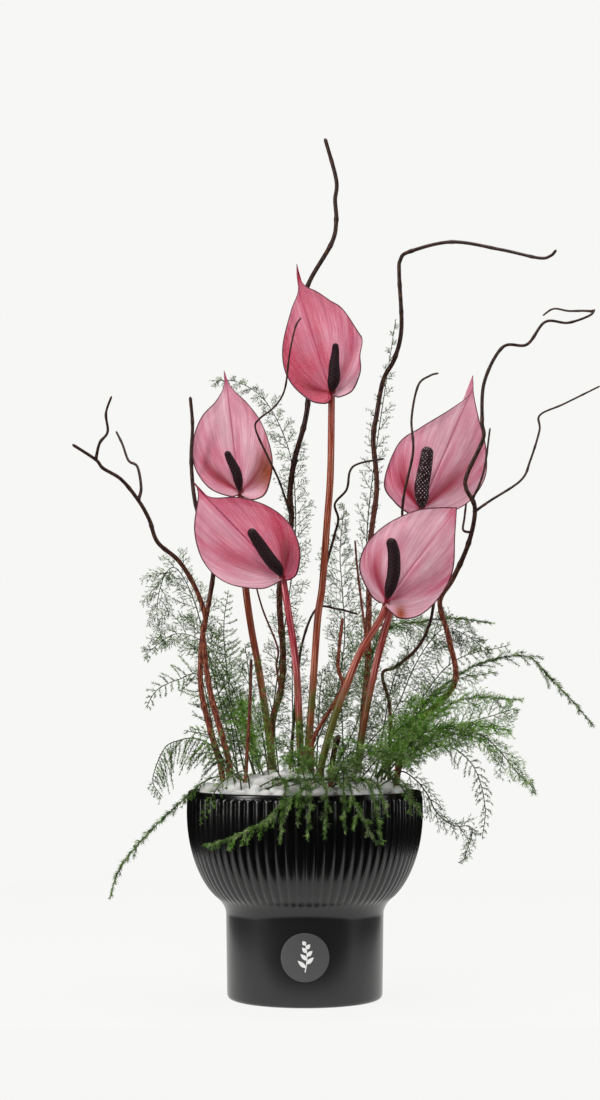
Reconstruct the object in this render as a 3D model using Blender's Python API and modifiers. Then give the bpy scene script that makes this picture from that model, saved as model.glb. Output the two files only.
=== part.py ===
"""Anthuriums, curly willow and fern sprays arranged in a black footed vase.

Units are metres and +Z is up.  The vase stands on the plane z = 0 with its axis on
the origin, and the flowers face -Y.  Lists of places along stems, twigs and fronds
are in millimetres.
"""
import math
import random

import bmesh
import bpy
import numpy as np
from mathutils import Vector

MM = 0.001

# --- Driving dimensions of the vase, in metres -------------------------------------
VASE_HEIGHT = 0.1745
RIM_RADIUS = 0.1002
BOWL_CENTRE_HEIGHT = 0.157
BOWL_CORE_RADIUS = 0.0530
BOWL_REACH = 0.0475
BOWL_DROP = 0.0815
FOOT_TOP_RADIUS = 0.0668
FOOT_TOP_HEIGHT = 0.0715
FOOT_BOTTOM_RADIUS = 0.0657
WALL = 0.006
CAVITY_FLOOR = 0.010
CAVITY_FOOT_RADIUS = 0.0595
CAVITY_CORNER = 0.003
FILLET_STEP = 0.0003
RIM_LIP = 0.0040
RIM_ROUND = 0.0015
FOOT_EDGE_HEIGHT = 0.0040
FOOT_ROUND = 0.0012
FOOT_UNDERCUT = 0.0035
TURN_STEPS = 48

# --- What fills the vase ------------------------------------------------------------
GAP = 0.0004
FOAM_TOP = 0.160
BED_RADIUS = 0.0939
BED_EDGE_HEIGHT = 0.173
BED_CROWN = 0.017
PEBBLE_PITCH = 0.0105
PEBBLE_RELIEF = 0.0025
STEM_END_HEIGHT = 0.135
FERN_END_HEIGHT = 0.166
SOCKET_MARGIN = 0.0009
SOCKET_TOP = 0.205
SOCKET_DEPTH = 0.0006
ROOT_LEAN = 0.15
MOUTH_DEPTH = 0.20

# --- The round label on the foot ----------------------------------------------------
LABEL_RADIUS = 0.0199
LABEL_HEIGHT = 0.0415
LABEL_THICKNESS = 0.0006
LABEL_BAND = 0.0240
PUNCH_LENGTH = 0.10
PUNCH_PLACE = 0.06

# --- Flowers ------------------------------------------------------------------------
BLADE_THICKNESS = 0.0008
BLADE_LEAN = 0.28
BLADE_ARCH = 3.0
LOBE_CURL = 0.35
BLADE_RINGS = (0.34, 0.68, 1.0)
SIDE_POINTS = 11
STEM_RADIUS_TOP = 0.0029
STEM_RADIUS_BASE = 0.0032

# Each outline runs from the tip round one side to the notch, in the blade's own
# upright plane: (right, up) in millimetres from the junction with the stem.
FLOWERS = {
    "top": {
        "junction": (23, -18, 513),
        "axis": (-29, 95),
        "right": [(-30, 119), (-28, 109), (-23, 99), (-12, 93), (-1, 85), (10, 77), (23, 57),
                  (27, 49), (25, 35), (25, 19), (18, 2), (7, -4), (3, -3)],
        "left": [(-30, 119), (-30, 109), (-29, 93), (-35, 76), (-42, 46), (-41, 24), (-33, 7),
                 (-18, -7), (-6, -10), (-1, -7)],
        "spadix": [(23, -22.5, 515), (24, -26, 520), (25, -27.5, 526), (25, -29, 536),
                   (26, -30, 547), (26, -32, 554)],
        "spadix_radii": (2.2, 5.0, 5.3, 4.4, 3.1, 2.3),
        "stem": [(1, 10, 190), (6, 8, 249), (11, 4, 320), (15, 1, 349), (19, -4, 402),
                 (22, -9, 445), (23, -14, 511)],
    },
    "upper_left": {
        "junction": (-56, 0, 430),
        "axis": (-13, 101),
        "right": [(-15, 111), (-9, 96), (7, 79), (19, 61), (27, 37), (28, 19), (23, -1),
                  (15, -7), (8, -7), (3, -4)],
        "left": [(-15, 111), (-15, 96), (-22, 82), (-34, 68), (-41, 48), (-40, 24), (-27, 4),
                 (-9, -4), (-2, -3)],
        "spadix": [(-56, -4.5, 432), (-57, -8, 439), (-59, -9.5, 447), (-64, -11, 457),
                   (-67, -13, 464)],
        "spadix_radii": (2.0, 4.0, 4.2, 3.4, 2.4),
        "stem": [(-27, 30, 191), (-34, 29, 240), (-40, 27, 279), (-46, 24, 311),
                 (-51, 20, 346), (-54, 14, 385), (-55, 4, 427)],
    },
    "lower_left": {
        "junction": (-18, -46, 354),
        "axis": (-76, 79),
        "right": [(-78, 84), (-63, 70), (-38, 69), (-13, 61), (5, 46), (14, 24), (12, 4),
                  (7, -2), (3, -3)],
        "left": [(-78, 84), (-73, 72), (-76, 41), (-68, 14), (-49, -4), (-20, -10), (-3, -4)],
        "spadix": [(-20, -50.5, 356), (-23, -54, 361), (-29, -56, 368), (-38, -58, 381),
                   (-46, -61, 393)],
        "spadix_radii": (2.2, 5.0, 5.3, 4.8, 3.6),
        "stem": [(-3, -32, 189), (-5, -36, 239), (-7, -40, 275), (-10, -43, 301),
                 (-14, -44, 326), (-18, -42, 351)],
    },
    "upper_right": {
        "junction": (99, -6, 414),
        "axis": (48, 109),
        "right": [(49, 122), (49, 106), (53, 83), (59, 58), (58, 31), (44, 9), (24, -3),
                  (12, -6), (3, -5)],
        "left": [(49, 122), (47, 106), (27, 90), (2, 74), (-18, 59), (-31, 24), (-22, 6),
                 (-10, -4), (-3, -4)],
        "spadix": [(100, -11, 416), (100, -15, 423), (100, -16.5, 434), (103, -18, 451),
                   (105, -20, 467)],
        "spadix_radii": (2.4, 6.0, 6.4, 5.8, 4.8),
        "stem": [(45, 34, 192), (54, 31, 245), (64, 27, 290), (76, 22, 333), (89, 14, 372),
                 (99, -2, 411)],
    },
    "lower_right": {
        "junction": (67, -66, 332),
        "axis": (61, 81),
        "right": [(61, 81), (59, 57), (57, 28), (47, 7), (30, -10), (12, -14), (1, -6)],
        "left": [(61, 81), (46, 81), (26, 78), (1, 66), (-16, 49), (-22, 28), (-13, 6),
                 (-5, -1)],
        "spadix": [(68, -70.5, 336), (70, -74, 343), (73, -76, 356), (73, -78, 372),
                   (70, -80, 384)],
        "spadix_radii": (2.2, 4.8, 5.4, 5.0, 3.9),
        "stem": [(13, -42, 193), (25, -48, 238), (34, -53, 262), (46, -58, 291),
                 (62, -62, 317), (67, -61, 329)],
    },
}

# Willow: trunk route, its radius at foot and tip and its twigs' (0 for none), then each
# side twig's route.
WILLOW = {
    "centre": (
        [(-30, 52, 192), (-28, 52, 234), (-21, 50, 260), (-19, 48, 293), (-22, 46, 348),
         (-12, 42, 406), (-13, 41, 432), (-9, 40, 462), (3, 36, 515), (-1, 36, 595),
         (4, 36, 620), (24, 34, 655), (28, 33, 675), (27, 32, 693), (28, 31, 711),
         (18, 29, 748)],
        (3.1, 1.7, 1.0),
        [[(-13, 41, 416), (-22, 6, 440), (-31, -9, 458), (-42, -18, 482), (-39, -24, 490),
          (-26, -34, 499), (-17, -42, 513), (-13, -50, 541), (-8, -52, 564), (-3, -50, 573)],
         [(-22, 49, 265), (-25, 56, 282), (-24, 60, 298), (-38, 64, 334), (-49, 68, 376)]],
    ),
    "right_tall": (
        [(47, 56, 192), (52, 58, 238), (56, 58, 291), (58, 55, 385), (64, 54, 439),
         (61, 52, 481), (64, 51, 504), (70, 49, 535), (80, 47, 554), (86, 45, 581),
         (84, 42, 628), (85, 40, 641), (93, 38, 648), (130, 30, 655), (172, 20, 646),
         (204, 8, 636), (214, 4, 637), (219, 2, 642)],
        (3.1, 1.3, 1.2),
        [[(56, 58, 293), (53, 62, 318), (50, 66, 342), (47, 68, 369), (45, 70, 394)]],
    ),
    "left_forked": (
        [(-64, -8, 194), (-67, -8, 209), (-81, -6, 260), (-87, -6, 307), (-85, -8, 322),
         (-93, -11, 346), (-107, -16, 369), (-125, -22, 385), (-132, -26, 404),
         (-141, -30, 420), (-155, -36, 437), (-170, -42, 446), (-176, -44, 453),
         (-195, -52, 465)],
        (2.9, 1.3, 1.3),
        [[(-141, -30, 420), (-139, -26, 431), (-143, -17, 450), (-151, -12, 456),
          (-157, -4, 471), (-163, 0, 483)],
         [(-176, -44, 453), (-172, -52, 466), (-165, -56, 475), (-166, -61, 490),
          (-161, -65, 504)]],
    ),
    "left_upright": (
        [(-72, 14, 193), (-76, 14, 207), (-89, 12, 258), (-89, 12, 299), (-86, 10, 317),
         (-79, 6, 358), (-80, 4, 375), (-94, 4, 419), (-98, 3, 457), (-97, 2, 488),
         (-99, 0, 513)],
        (2.8, 1.4, 0.0),
        [],
    ),
    "right_forked": (
        [(80, 10, 191), (85, 12, 213), (98, 14, 233), (129, 16, 265), (125, 13, 302),
         (117, 9, 330), (118, 6, 341), (127, -1, 355), (140, -10, 385), (145, -18, 414),
         (137, -24, 431), (138, -28, 443), (151, -34, 472), (150, -36, 487),
         (152, -38, 520), (168, -36, 550), (189, -32, 553), (205, -28, 573),
         (225, -24, 573), (244, -20, 580), (249, -18, 586)],
        (3.0, 1.0, 1.1),
        [[(247, -18, 584), (240, -10, 586), (228, -4, 587), (216, 2, 590), (207, 8, 585)],
         [(144, -17, 411), (158, -12, 421), (186, -2, 440), (195, 4, 458), (204, 12, 485),
          (205, 16, 499), (227, 24, 510), (260, 32, 527)],
         [(143, -21, 423), (148, -25, 433), (153, -27, 450), (158, -22, 483)],
         [(142, -13, 394), (136, -4, 397), (138, 6, 409), (142, 20, 434)]],
    ),
    "wavy_right": (
        [(74, 44, 192), (75, 44, 221), (74, 44, 249), (68, 40, 274), (79, 38, 280),
         (95, 34, 293), (105, 30, 308), (111, 24, 328), (109, 10, 346), (86, -20, 394),
         (83, -34, 419), (91, -44, 459), (90, -42, 488), (96, -36, 517), (106, -32, 526),
         (114, -28, 529)],
        (1.7, 0.9, 0.0),
        [],
    ),
    "thin_centre": (
        [(3, 62, 192), (7, 60, 251), (15, 50, 348), (25, 20, 391), (29, 8, 407),
         (26, 2, 420), (36, -2, 432), (39, -2, 448), (47, 2, 455), (69, 8, 460)],
        (1.7, 0.9, 0.0),
        [],
    ),
    "short_red": (
        [(6, -12, 194), (8, -14, 220), (31, -22, 260), (28, -22, 281), (32, -20, 321)],
        (2.3, 1.3, 0.0),
        [],
    ),
    "dark_stub": (
        [(22, -62, 192), (24, -66, 209), (28, -70, 223)],
        (2.6, 2.2, 0.0),
        [],
    ),
    "left_stub": (
        [(-49, -40, 195), (-46, -42, 248), (-45, -42, 286)],
        (1.7, 1.3, 0.0),
        [],
    ),
    "low_twig": (
        [(-13, 66, 190), (-8, 72, 251), (-3, 74, 298), (10, 74, 332), (28, 78, 333),
         (48, 82, 328)],
        (1.7, 0.9, 0.0),
        [],
    ),
}
TWIG_RADIUS_SHARE = 0.7

# Fern sprays: spine route, number of side sprays, their length in millimetres, how far
# they droop (share of their length) and which sides they grow on.
FERNS = {
    "right_bright": ([(70, -12, 194), (86, -18, 207), (105, -24, 219), (128, -28, 229),
                      (167, -30, 241), (178, -28, 245)], 6, 34, -0.1, "both"),
    "right_low": ([(66, -30, 191), (80, -36, 204), (104, -42, 217), (133, -46, 224),
                   (152, -48, 219), (177, -46, 191), (192, -42, 177)], 6, 24, 0.1, "both"),
    "right_hanging": ([(76, 28, 189), (105, 32, 206), (126, 34, 211), (147, 32, 193),
                       (156, 28, 160), (153, 24, 131)], 5, 20, 0.3, "both"),
    "right_drape": ([(81, -4, 190), (95, -4, 183), (105, -4, 170), (112, -4, 156),
                     (126, -4, 145), (142, -4, 142), (134, -4, 113)], 3, 15, 0.4, "both"),
    "right_far": ([(66, 50, 190), (102, 60, 241), (132, 52, 271), (163, 44, 286),
                   (195, 36, 289), (213, 32, 271), (230, 28, 253), (250, 22, 229)],
                  7, 24, 0.3, "both"),
    "right_level": ([(28, 79, 191), (48, 88, 234), (55, 88, 276), (66, 80, 305),
                     (81, 64, 318), (102, 52, 320), (128, 42, 323), (165, 30, 318)], 5, 15, 0.0, "both"),
    "right_back": ([(38, 74, 191), (79, 99, 238), (97, 98, 277), (111, 96, 301),
                    (127, 92, 316), (147, 84, 308), (167, 80, 293)], 7, 30, 0.2, "both"),
    "centre": ([(16, 78, 191), (28, 94, 251), (36, 93, 305), (34, 90, 350), (32, 86, 386),
                (36, 82, 427)], 6, 28, 0.0, "both"),
    "upper_thin": ([(50, 68, 191), (56, 76, 251), (57, 78, 323), (56, 80, 397),
                    (62, 78, 458), (71, 74, 521), (82, 68, 593)], 6, 16, -0.2, "both"),
    "upper_left": ([(-32, 72, 191), (-27, 74, 251), (-12, 78, 359), (-8, 78, 413),
                    (-13, 76, 471), (-33, 70, 516), (-59, 64, 535), (-85, 60, 536)], 7, 24, 0.2, "both"),
    "left_upper": ([(-60, 58, 192), (-73, 66, 243), (-93, 68, 322), (-104, 66, 353),
                    (-116, 64, 369), (-126, 62, 358), (-131, 60, 329), (-125, 60, 300)], 7, 28, 0.2, "both"),
    "left_middle": ([(-46, 44, 192), (-62, 50, 238), (-69, 48, 282), (-71, 46, 317),
                     (-67, 44, 348)], 6, 20, 0.0, "both"),
    "left_bright": ([(-39, 8, 190), (-46, 2, 215), (-53, -2, 239), (-54, -4, 253)], 3, 15, -0.3, "both"),
    "left_comb": ([(-69, 36, 191), (-79, 40, 221), (-91, 36, 271), (-110, 28, 269),
                   (-128, 24, 260), (-138, 22, 244)], 5, 22, 0.0, "both"),
    "left_arch": ([(-61, -26, 189), (-76, -28, 211), (-92, -26, 219), (-107, -22, 217),
                   (-119, -18, 210), (-129, -10, 184), (-121, -6, 169)], 4, 22, 0.6, "low"),
    "left_low": ([(-55, -58, 189), (-69, -57, 189), (-83, -55, 184), (-95, -52, 174),
                  (-128, -48, 143), (-153, -44, 113), (-162, -42, 87)], 5, 9, 0.2, "both"),
    "left_drape": ([(-48, -70, 192), (-60, -72, 189), (-69, -74, 183), (-76, -77, 172),
                    (-86, -75, 150)], 3, 8, 0.2, "both"),
    "front_left": ([(14, -76, 196), (6, -90, 187), (-3, -103, 179), (-20, -108, 166),
                    (-34, -105, 153), (-67, -88, 137), (-83, -74, 133)], 4, 22, 0.5, "low"),
    "front_right": ([(32, -72, 196), (35, -92, 185), (38, -103, 174), (41, -106, 166),
                     (57, -101, 136)], 3, 15, 0.2, "both"),
    "rim_right": ([(62, -54, 193), (73, -64, 186), (81, -72, 178), (85, -75, 170),
                   (87, -73, 158)], 3, 11, 0.2, "both"),
    "back_left": ([(-46, 68, 195), (-62, 102, 255), (-88, 122, 300), (-118, 132, 312),
                   (-148, 130, 292)], 7, 30, 0.1, "both"),
    "back_right": ([(4, 81, 195), (34, 114, 265), (62, 136, 312), (92, 150, 325),
                    (128, 154, 300)], 7, 30, 0.1, "both"),
}
SPINE_RADIUS = 0.0010
SPRAY_RADIUS = 0.0008
SPRAY_TIP_RADIUS = 0.0005
SPRAY_ANGLE = math.radians(48)
FIRST_SPRAY = 0.30
CLEARANCE = 0.0022
VASE_CLEARANCE = 0.004
BED_CLEARANCE = 0.006
BLADE_CLEARANCE = 0.006
ROUTE_SPACING = 0.002

VIEW = Vector((0, -1, 0))
DOWN = Vector((0, 0, -1))


# --- Scene helpers ------------------------------------------------------------------
def clear_scene():
    """Remove whatever the file already holds."""
    for item in list(bpy.data.objects):
        bpy.data.objects.remove(item)


def new_collection(name):
    """Add a collection to the scene."""
    group = bpy.data.collections.new(name)
    bpy.context.scene.collection.children.link(group)
    return group


def principled(name, colour, roughness, metallic=0.0):
    """A Principled material with a plain colour."""
    material = bpy.data.materials.new(name)
    material.use_nodes = True
    shader = material.node_tree.nodes["Principled BSDF"]
    shader.inputs["Base Color"].default_value = (*colour, 1.0)
    shader.inputs["Roughness"].default_value = roughness
    shader.inputs["Metallic"].default_value = metallic
    return material


def add_mesh(name, mesh, group, material=None):
    """Link a mesh as a named object."""
    item = bpy.data.objects.new(name, mesh)
    group.objects.link(item)
    if material:
        mesh.materials.append(material)
    return item


def hide(item):
    """Mark an object as a cutter or a guide."""
    item.hide_render = True
    item.display_type = 'WIRE'
    return item


def boolean(target, operation, other):
    """Cut or join with the exact solver."""
    step = target.modifiers.new(operation.lower(), 'BOOLEAN')
    step.operation = operation
    step.solver = 'EXACT'
    step.object = other
    step.use_self = operation == 'UNION'


def places(points):
    """Millimetre tuples as vectors in metres."""
    return [Vector(point) * MM for point in points]


# --- Tubes --------------------------------------------------------------------------
def tube_curve(name, routes, group, sides):
    """A curve object with one capped tube for each (points, radii) route."""
    data = bpy.data.curves.new(name, 'CURVE')
    data.dimensions = '3D'
    data.bevel_depth = 1.0
    data.bevel_resolution = sides // 2 - 2
    data.use_fill_caps = True
    for points, radii in routes:
        spline = data.splines.new('POLY')
        spline.points.add(len(points) - 1)
        for knot, point, radius in zip(spline.points, points, radii):
            knot.co = (*point, 1.0)
            knot.radius = radius
    item = bpy.data.objects.new(name, data)
    group.objects.link(item)
    return item


def tube_mesh(name, routes, group, sides, material=None):
    """The same tubes as closed meshes, with their end caps welded on."""
    curve = tube_curve(name + "_curve", routes, group, sides)
    bpy.context.view_layer.update()
    evaluated = curve.evaluated_get(bpy.context.evaluated_depsgraph_get())
    mesh = bpy.data.meshes.new_from_object(evaluated)
    mesh.name = name
    work = bmesh.new()
    work.from_mesh(mesh)
    bmesh.ops.remove_doubles(work, verts=work.verts, dist=1e-6)
    bmesh.ops.recalc_face_normals(work, faces=work.faces)
    work.to_mesh(mesh)
    work.free()
    bpy.data.objects.remove(curve)
    return add_mesh(name, mesh, group, material)


def tapered(points, start, end):
    """One radius per point, falling evenly from start to end along the route."""
    steps = [0.0]
    for before, after in zip(points, points[1:]):
        steps.append(steps[-1] + (after - before).length)
    return [start + (end - start) * step / steps[-1] for step in steps]


def rooted(points, depth):
    """Carry a route on down into the foam, leaning at most 1 in 7."""
    first = points[0]
    slope = first - points[1]
    drop = first.z - depth
    lean = Vector((slope.x, slope.y, 0)) / max(-slope.z, slope.length * 0.3)
    limit = min(1.0, ROOT_LEAN / max(lean.length, 1e-6))
    return [first + lean * limit * drop + DOWN * drop] + points


# --- Clearance between sprays and everything else -----------------------------------
class Obstacles:
    """Points along every piece placed so far, each with its piece's name and radius."""

    def __init__(self):
        self.points = []
        self.radii = []
        self.owners = []

    def add_route(self, owner, points, radius):
        """Remember evenly spaced points along a tube."""
        for before, after in zip(points, points[1:]):
            count = max(1, int((after - before).length / ROUTE_SPACING))
            for step in range(count + 1):
                self.points.append(tuple(before.lerp(after, step / count)))
                self.radii.append(radius)
                self.owners.append(owner)

    def add_cloud(self, owner, cloud, radius):
        """Remember the points of a surface."""
        for point in cloud:
            self.points.append(tuple(point))
            self.radii.append(radius)
            self.owners.append(owner)

    def free(self, owner, points):
        """Whether a thin tube stays clear of every other piece and of the vase."""
        places_taken = np.array(self.points)
        radii = np.array(self.radii)
        others = np.array(self.owners) != owner
        for before, after in zip(points, points[1:]):
            for step in range(1, 9):
                spot = np.array(before.lerp(after, step / 8))
                distance = np.linalg.norm(places_taken - spot, axis=1) - radii
                if distance[others].min() < CLEARANCE or inside_vase(spot):
                    return False
        return True


def inside_vase(spot):
    """Whether a spot is in or almost against the vase or the pebbles."""
    radius = math.hypot(spot[0], spot[1])
    if spot[2] > VASE_HEIGHT + VASE_CLEARANCE:
        return radius < BED_RADIUS and spot[2] < mound_height(radius) + BED_CLEARANCE
    return radius < RIM_RADIUS + VASE_CLEARANCE


# --- Vase, label, foam and pebbles --------------------------------------------------
def bowl_radius(height):
    """Outer radius of the bowl: a quarter ellipse round a cylindrical core."""
    fall = max(0.0, BOWL_CENTRE_HEIGHT - height) / BOWL_DROP
    return BOWL_CORE_RADIUS + BOWL_REACH * math.sqrt(1 - min(1.0, fall * fall))


BOWL_LEVELS = [BOWL_CENTRE_HEIGHT - BOWL_DROP * math.sin(math.radians(angle))
               for angle in (0, 18, 34, 48, 60, 71)]


def outer_profile():
    """The vase's outer side from the rim down, as (radius, height)."""
    profile = [(RIM_RADIUS - RIM_LIP, VASE_HEIGHT), (RIM_RADIUS - RIM_ROUND, VASE_HEIGHT)]
    profile += [(RIM_RADIUS, VASE_HEIGHT - RIM_ROUND)]
    profile += [(bowl_radius(level), level) for level in BOWL_LEVELS]
    profile += [(FOOT_TOP_RADIUS + FILLET_STEP, FOOT_TOP_HEIGHT + CAVITY_CORNER)]
    profile += [(FOOT_TOP_RADIUS, FOOT_TOP_HEIGHT), (FOOT_BOTTOM_RADIUS, FOOT_EDGE_HEIGHT)]
    profile += [(FOOT_BOTTOM_RADIUS - FOOT_ROUND, FOOT_ROUND)]
    profile += [(FOOT_BOTTOM_RADIUS - FOOT_UNDERCUT, 0.0)]
    return profile


def cavity_profile(inset):
    """The cavity's wall from its floor up, pulled in by an inset."""
    profile = [(CAVITY_FOOT_RADIUS - CAVITY_CORNER - inset, CAVITY_FLOOR + inset)]
    profile += [(CAVITY_FOOT_RADIUS - inset, CAVITY_FLOOR + CAVITY_CORNER + inset)]
    profile += [(CAVITY_FOOT_RADIUS - inset, FOOT_TOP_HEIGHT)]
    for level in reversed(BOWL_LEVELS):
        profile.append((bowl_radius(level) - WALL - inset, level))
    return profile


def turned(name, profile, group, material):
    """A closed body turned about Z from a profile that starts and ends on the axis."""
    mesh = bpy.data.meshes.new(name)
    edges = [(index, index + 1) for index in range(len(profile) - 1)]
    mesh.from_pydata([(radius, 0, height) for radius, height in profile], edges, [])
    item = add_mesh(name, mesh, group, material)
    screw = item.modifiers.new("turn", 'SCREW')
    screw.steps = TURN_STEPS
    screw.render_steps = TURN_STEPS
    screw.use_merge_vertices = True
    screw.merge_threshold = 1e-5
    screw.use_normal_calculate = True
    return item


def build_vase(group):
    """The footed vase: bowl, plain foot and the cavity inside both."""
    glaze = principled("black_glaze", (0.004, 0.004, 0.0045), 0.32)
    inside = [(0.0, CAVITY_FLOOR)] + cavity_profile(0.0)
    inside += [(RIM_RADIUS - WALL + FILLET_STEP, VASE_HEIGHT - FOOT_ROUND)]
    outside = outer_profile() + [(0.0, 0.0)]
    return turned("vase", inside + outside, group, glaze)


def foot_radius(height):
    """Outer radius of the foot, which narrows slightly towards the floor."""
    share = height / FOOT_TOP_HEIGHT
    return FOOT_BOTTOM_RADIUS + (FOOT_TOP_RADIUS - FOOT_BOTTOM_RADIUS) * share


def build_label(group, cutters):
    """A thin disc bent round the front of the foot: a band cut by a round punch."""
    film = principled("label_film", (0.10, 0.10, 0.104), 0.45)
    low, high = LABEL_HEIGHT - LABEL_BAND, LABEL_HEIGHT + LABEL_BAND
    near = GAP
    far = GAP + LABEL_THICKNESS
    corners = [(foot_radius(high) + far, high), (foot_radius(low) + far, low),
               (foot_radius(low) + near, low), (foot_radius(high) + near, high)]
    label = turned("round_label", corners + corners[:1], group, film)
    mesh = bpy.data.meshes.new("punch")
    work = bmesh.new()
    bmesh.ops.create_cone(work, cap_ends=True, segments=32, radius1=LABEL_RADIUS,
                          radius2=LABEL_RADIUS, depth=PUNCH_LENGTH)
    work.to_mesh(mesh)
    work.free()
    punch = hide(add_mesh("punch", mesh, cutters))
    punch.location = (0, -PUNCH_PLACE, LABEL_HEIGHT)
    punch.rotation_euler = (math.pi / 2, 0, 0)
    boolean(label, 'INTERSECT', punch)


def mound_height(radius):
    """Height of the pebbles' even crown at a distance from the axis."""
    return BED_EDGE_HEIGHT + BED_CROWN * (1 - (radius / BED_RADIUS) ** 2)


def pebble_block(group):
    """A block with a cobbled, crowned top, wider than the vase's mouth."""
    rows = int(BED_RADIUS / (PEBBLE_PITCH * math.sqrt(0.75))) + 2
    work = bmesh.new()
    grid = {}
    for row in range(-rows, rows + 1):
        for column in range(-rows, rows + 1):
            x = (column + 0.5 * (row % 2)) * PEBBLE_PITCH
            y = row * PEBBLE_PITCH * math.sqrt(0.75)
            peak = (column + (row // 2) + 2 * (row % 2)) % 3 == 0
            relief = PEBBLE_RELIEF if peak else -PEBBLE_RELIEF
            top = mound_height(min(math.hypot(x, y), BED_RADIUS)) + relief
            grid[row, column] = work.verts.new((x, y, top))
    for row in range(-rows, rows):
        for column in range(-rows, rows):
            low, low_next = grid[row, column], grid[row, column + 1]
            high, high_next = grid[row + 1, column], grid[row + 1, column + 1]
            if row % 2:
                work.faces.new((low, low_next, high_next))
                work.faces.new((low, high_next, high))
            else:
                work.faces.new((low, low_next, high))
                work.faces.new((low_next, high_next, high))
    raised = bmesh.ops.extrude_face_region(work, geom=work.faces[:])
    for item in raised["geom"]:
        if isinstance(item, bmesh.types.BMVert):
            item.co.z = FOAM_TOP + GAP
    floor = [item for item in raised["geom"] if isinstance(item, bmesh.types.BMFace)]
    bmesh.ops.dissolve_faces(work, faces=floor, use_verts=True)
    bmesh.ops.recalc_face_normals(work, faces=work.faces)
    mesh = bpy.data.meshes.new("pebble_bed")
    work.to_mesh(mesh)
    work.free()
    stone = principled("white_stone", (0.85, 0.85, 0.84), 0.45)
    return add_mesh("pebble_bed", mesh, group, stone)


def build_filling(group, cutters, sockets):
    """The foam block and the pebbles above it, pierced for every stem."""
    foam_paint = principled("green_foam", (0.07, 0.16, 0.06), 0.95)
    wall = cavity_profile(GAP)
    inner = [(0.0, CAVITY_FLOOR + GAP)] + wall
    inner += [(bowl_radius(FOAM_TOP) - WALL - GAP, FOAM_TOP), (0.0, FOAM_TOP)]
    foam = turned("floral_foam", inner[::-1], group, foam_paint)
    bed = pebble_block(group)
    mouth_mesh = bpy.data.meshes.new("mouth")
    work = bmesh.new()
    bmesh.ops.create_cone(work, cap_ends=True, segments=TURN_STEPS, radius1=BED_RADIUS,
                          radius2=BED_RADIUS, depth=MOUTH_DEPTH)
    bmesh.ops.translate(work, verts=work.verts, vec=(0, 0, VASE_HEIGHT))
    work.to_mesh(mouth_mesh)
    work.free()
    mouth = hide(add_mesh("mouth", mouth_mesh, cutters))
    boolean(bed, 'INTERSECT', mouth)
    holes = hide(tube_mesh("sockets", sockets, cutters, 6))
    boolean(foam, 'DIFFERENCE', holes)
    boolean(bed, 'DIFFERENCE', holes)


def socket_for(points, radius):
    """A slightly wider tube round the buried end of a stem."""
    deep = points[0] + (points[0] - points[1]).normalized() * SOCKET_DEPTH
    route = [deep]
    for point in points[1:]:
        route.append(point)
        if point.z > SOCKET_TOP:
            break
    return route, [radius + SOCKET_MARGIN] * len(route)


# --- Flowers ------------------------------------------------------------------------
def smooth_step(value, low, high):
    """0 below low, 1 above high and an even rise between."""
    share = min(1.0, max(0.0, (value - low) / (high - low)))
    return share * share * (3 - 2 * share)


def blade_depth(right, up, axis):
    """How far behind the junction a blade lies, at a place in its upright plane.

    The blade leans back along its axis, its margins arch back and the two lobes at
    its base curl forward round the spadix.
    """
    along = right * axis.x + up * axis.y
    across = right * axis.y - up * axis.x
    reach = math.hypot(along, across)
    turn = math.degrees(math.atan2(abs(across), along)) if reach else 0.0
    arch = BLADE_ARCH * across * across * smooth_step(along, 0.0, 0.03)
    return BLADE_LEAN * along + arch - LOBE_CURL * reach * smooth_step(turn, 80, 130)


def spline_point(knots, place):
    """A point on the Catmull-Rom curve through the knots; place counts knots."""
    index = min(int(place), len(knots) - 2)
    share = place - index
    before = knots[max(index - 1, 0)]
    start, end = knots[index], knots[index + 1]
    after = knots[min(index + 2, len(knots) - 1)]
    first = (end - before) * 0.5
    last = (after - start) * 0.5
    square, cube = share * share, share * share * share
    return (start * (2 * cube - 3 * square + 1) + first * (cube - 2 * square + share)
            + end * (3 * square - 2 * cube) + last * (cube - square))


def margin(knots, count):
    """Points evenly along one side of a blade, from its tip to its notch."""
    knots = [Vector(knot) * MM for knot in knots]
    fine = [spline_point(knots, (len(knots) - 1) * step / 200) for step in range(201)]
    lengths = [0.0]
    for before, after in zip(fine, fine[1:]):
        lengths.append(lengths[-1] + (after - before).length)
    picked = []
    for step in range(count):
        target = lengths[-1] * step / (count - 1)
        index = min(range(len(lengths)), key=lambda place: abs(lengths[place] - target))
        picked.append(fine[index])
    return picked


def blade_points(flower):
    """The blade's junction, then its rings of points from the junction outward."""
    junction = Vector(flower["junction"]) * MM
    axis = Vector(flower["axis"]).normalized()
    rim = margin(flower["right"], SIDE_POINTS)[::-1]
    rim += margin(flower["left"], SIDE_POINTS)[1:]
    rings = []
    for ring in BLADE_RINGS:
        row = []
        for point in rim:
            right, up = point.x * ring, point.y * ring
            row.append(junction + Vector((right, blade_depth(right, up, axis), up)))
        rings.append(row)
    return junction, rings


def build_blade(name, flower, group, material):
    """A heart-shaped blade: a fan of faces round the junction, open at the notch."""
    junction, rings = blade_points(flower)
    count = len(rings[0])
    verts = [junction] + [point for row in rings for point in row]
    faces = [(0, 1 + step, 2 + step) for step in range(count - 1)]
    for ring in range(len(rings) - 1):
        low = 1 + ring * count
        for step in range(count - 1):
            inner, outer = low + step, low + count + step
            faces.append((inner, outer, outer + 1, inner + 1))
    mesh = bpy.data.meshes.new(name)
    mesh.from_pydata(verts, [], faces)
    blade = add_mesh(name, mesh, group, material)
    shell = blade.modifiers.new("thickness", 'SOLIDIFY')
    shell.thickness = BLADE_THICKNESS
    shell.offset = 0.0
    return verts


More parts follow.
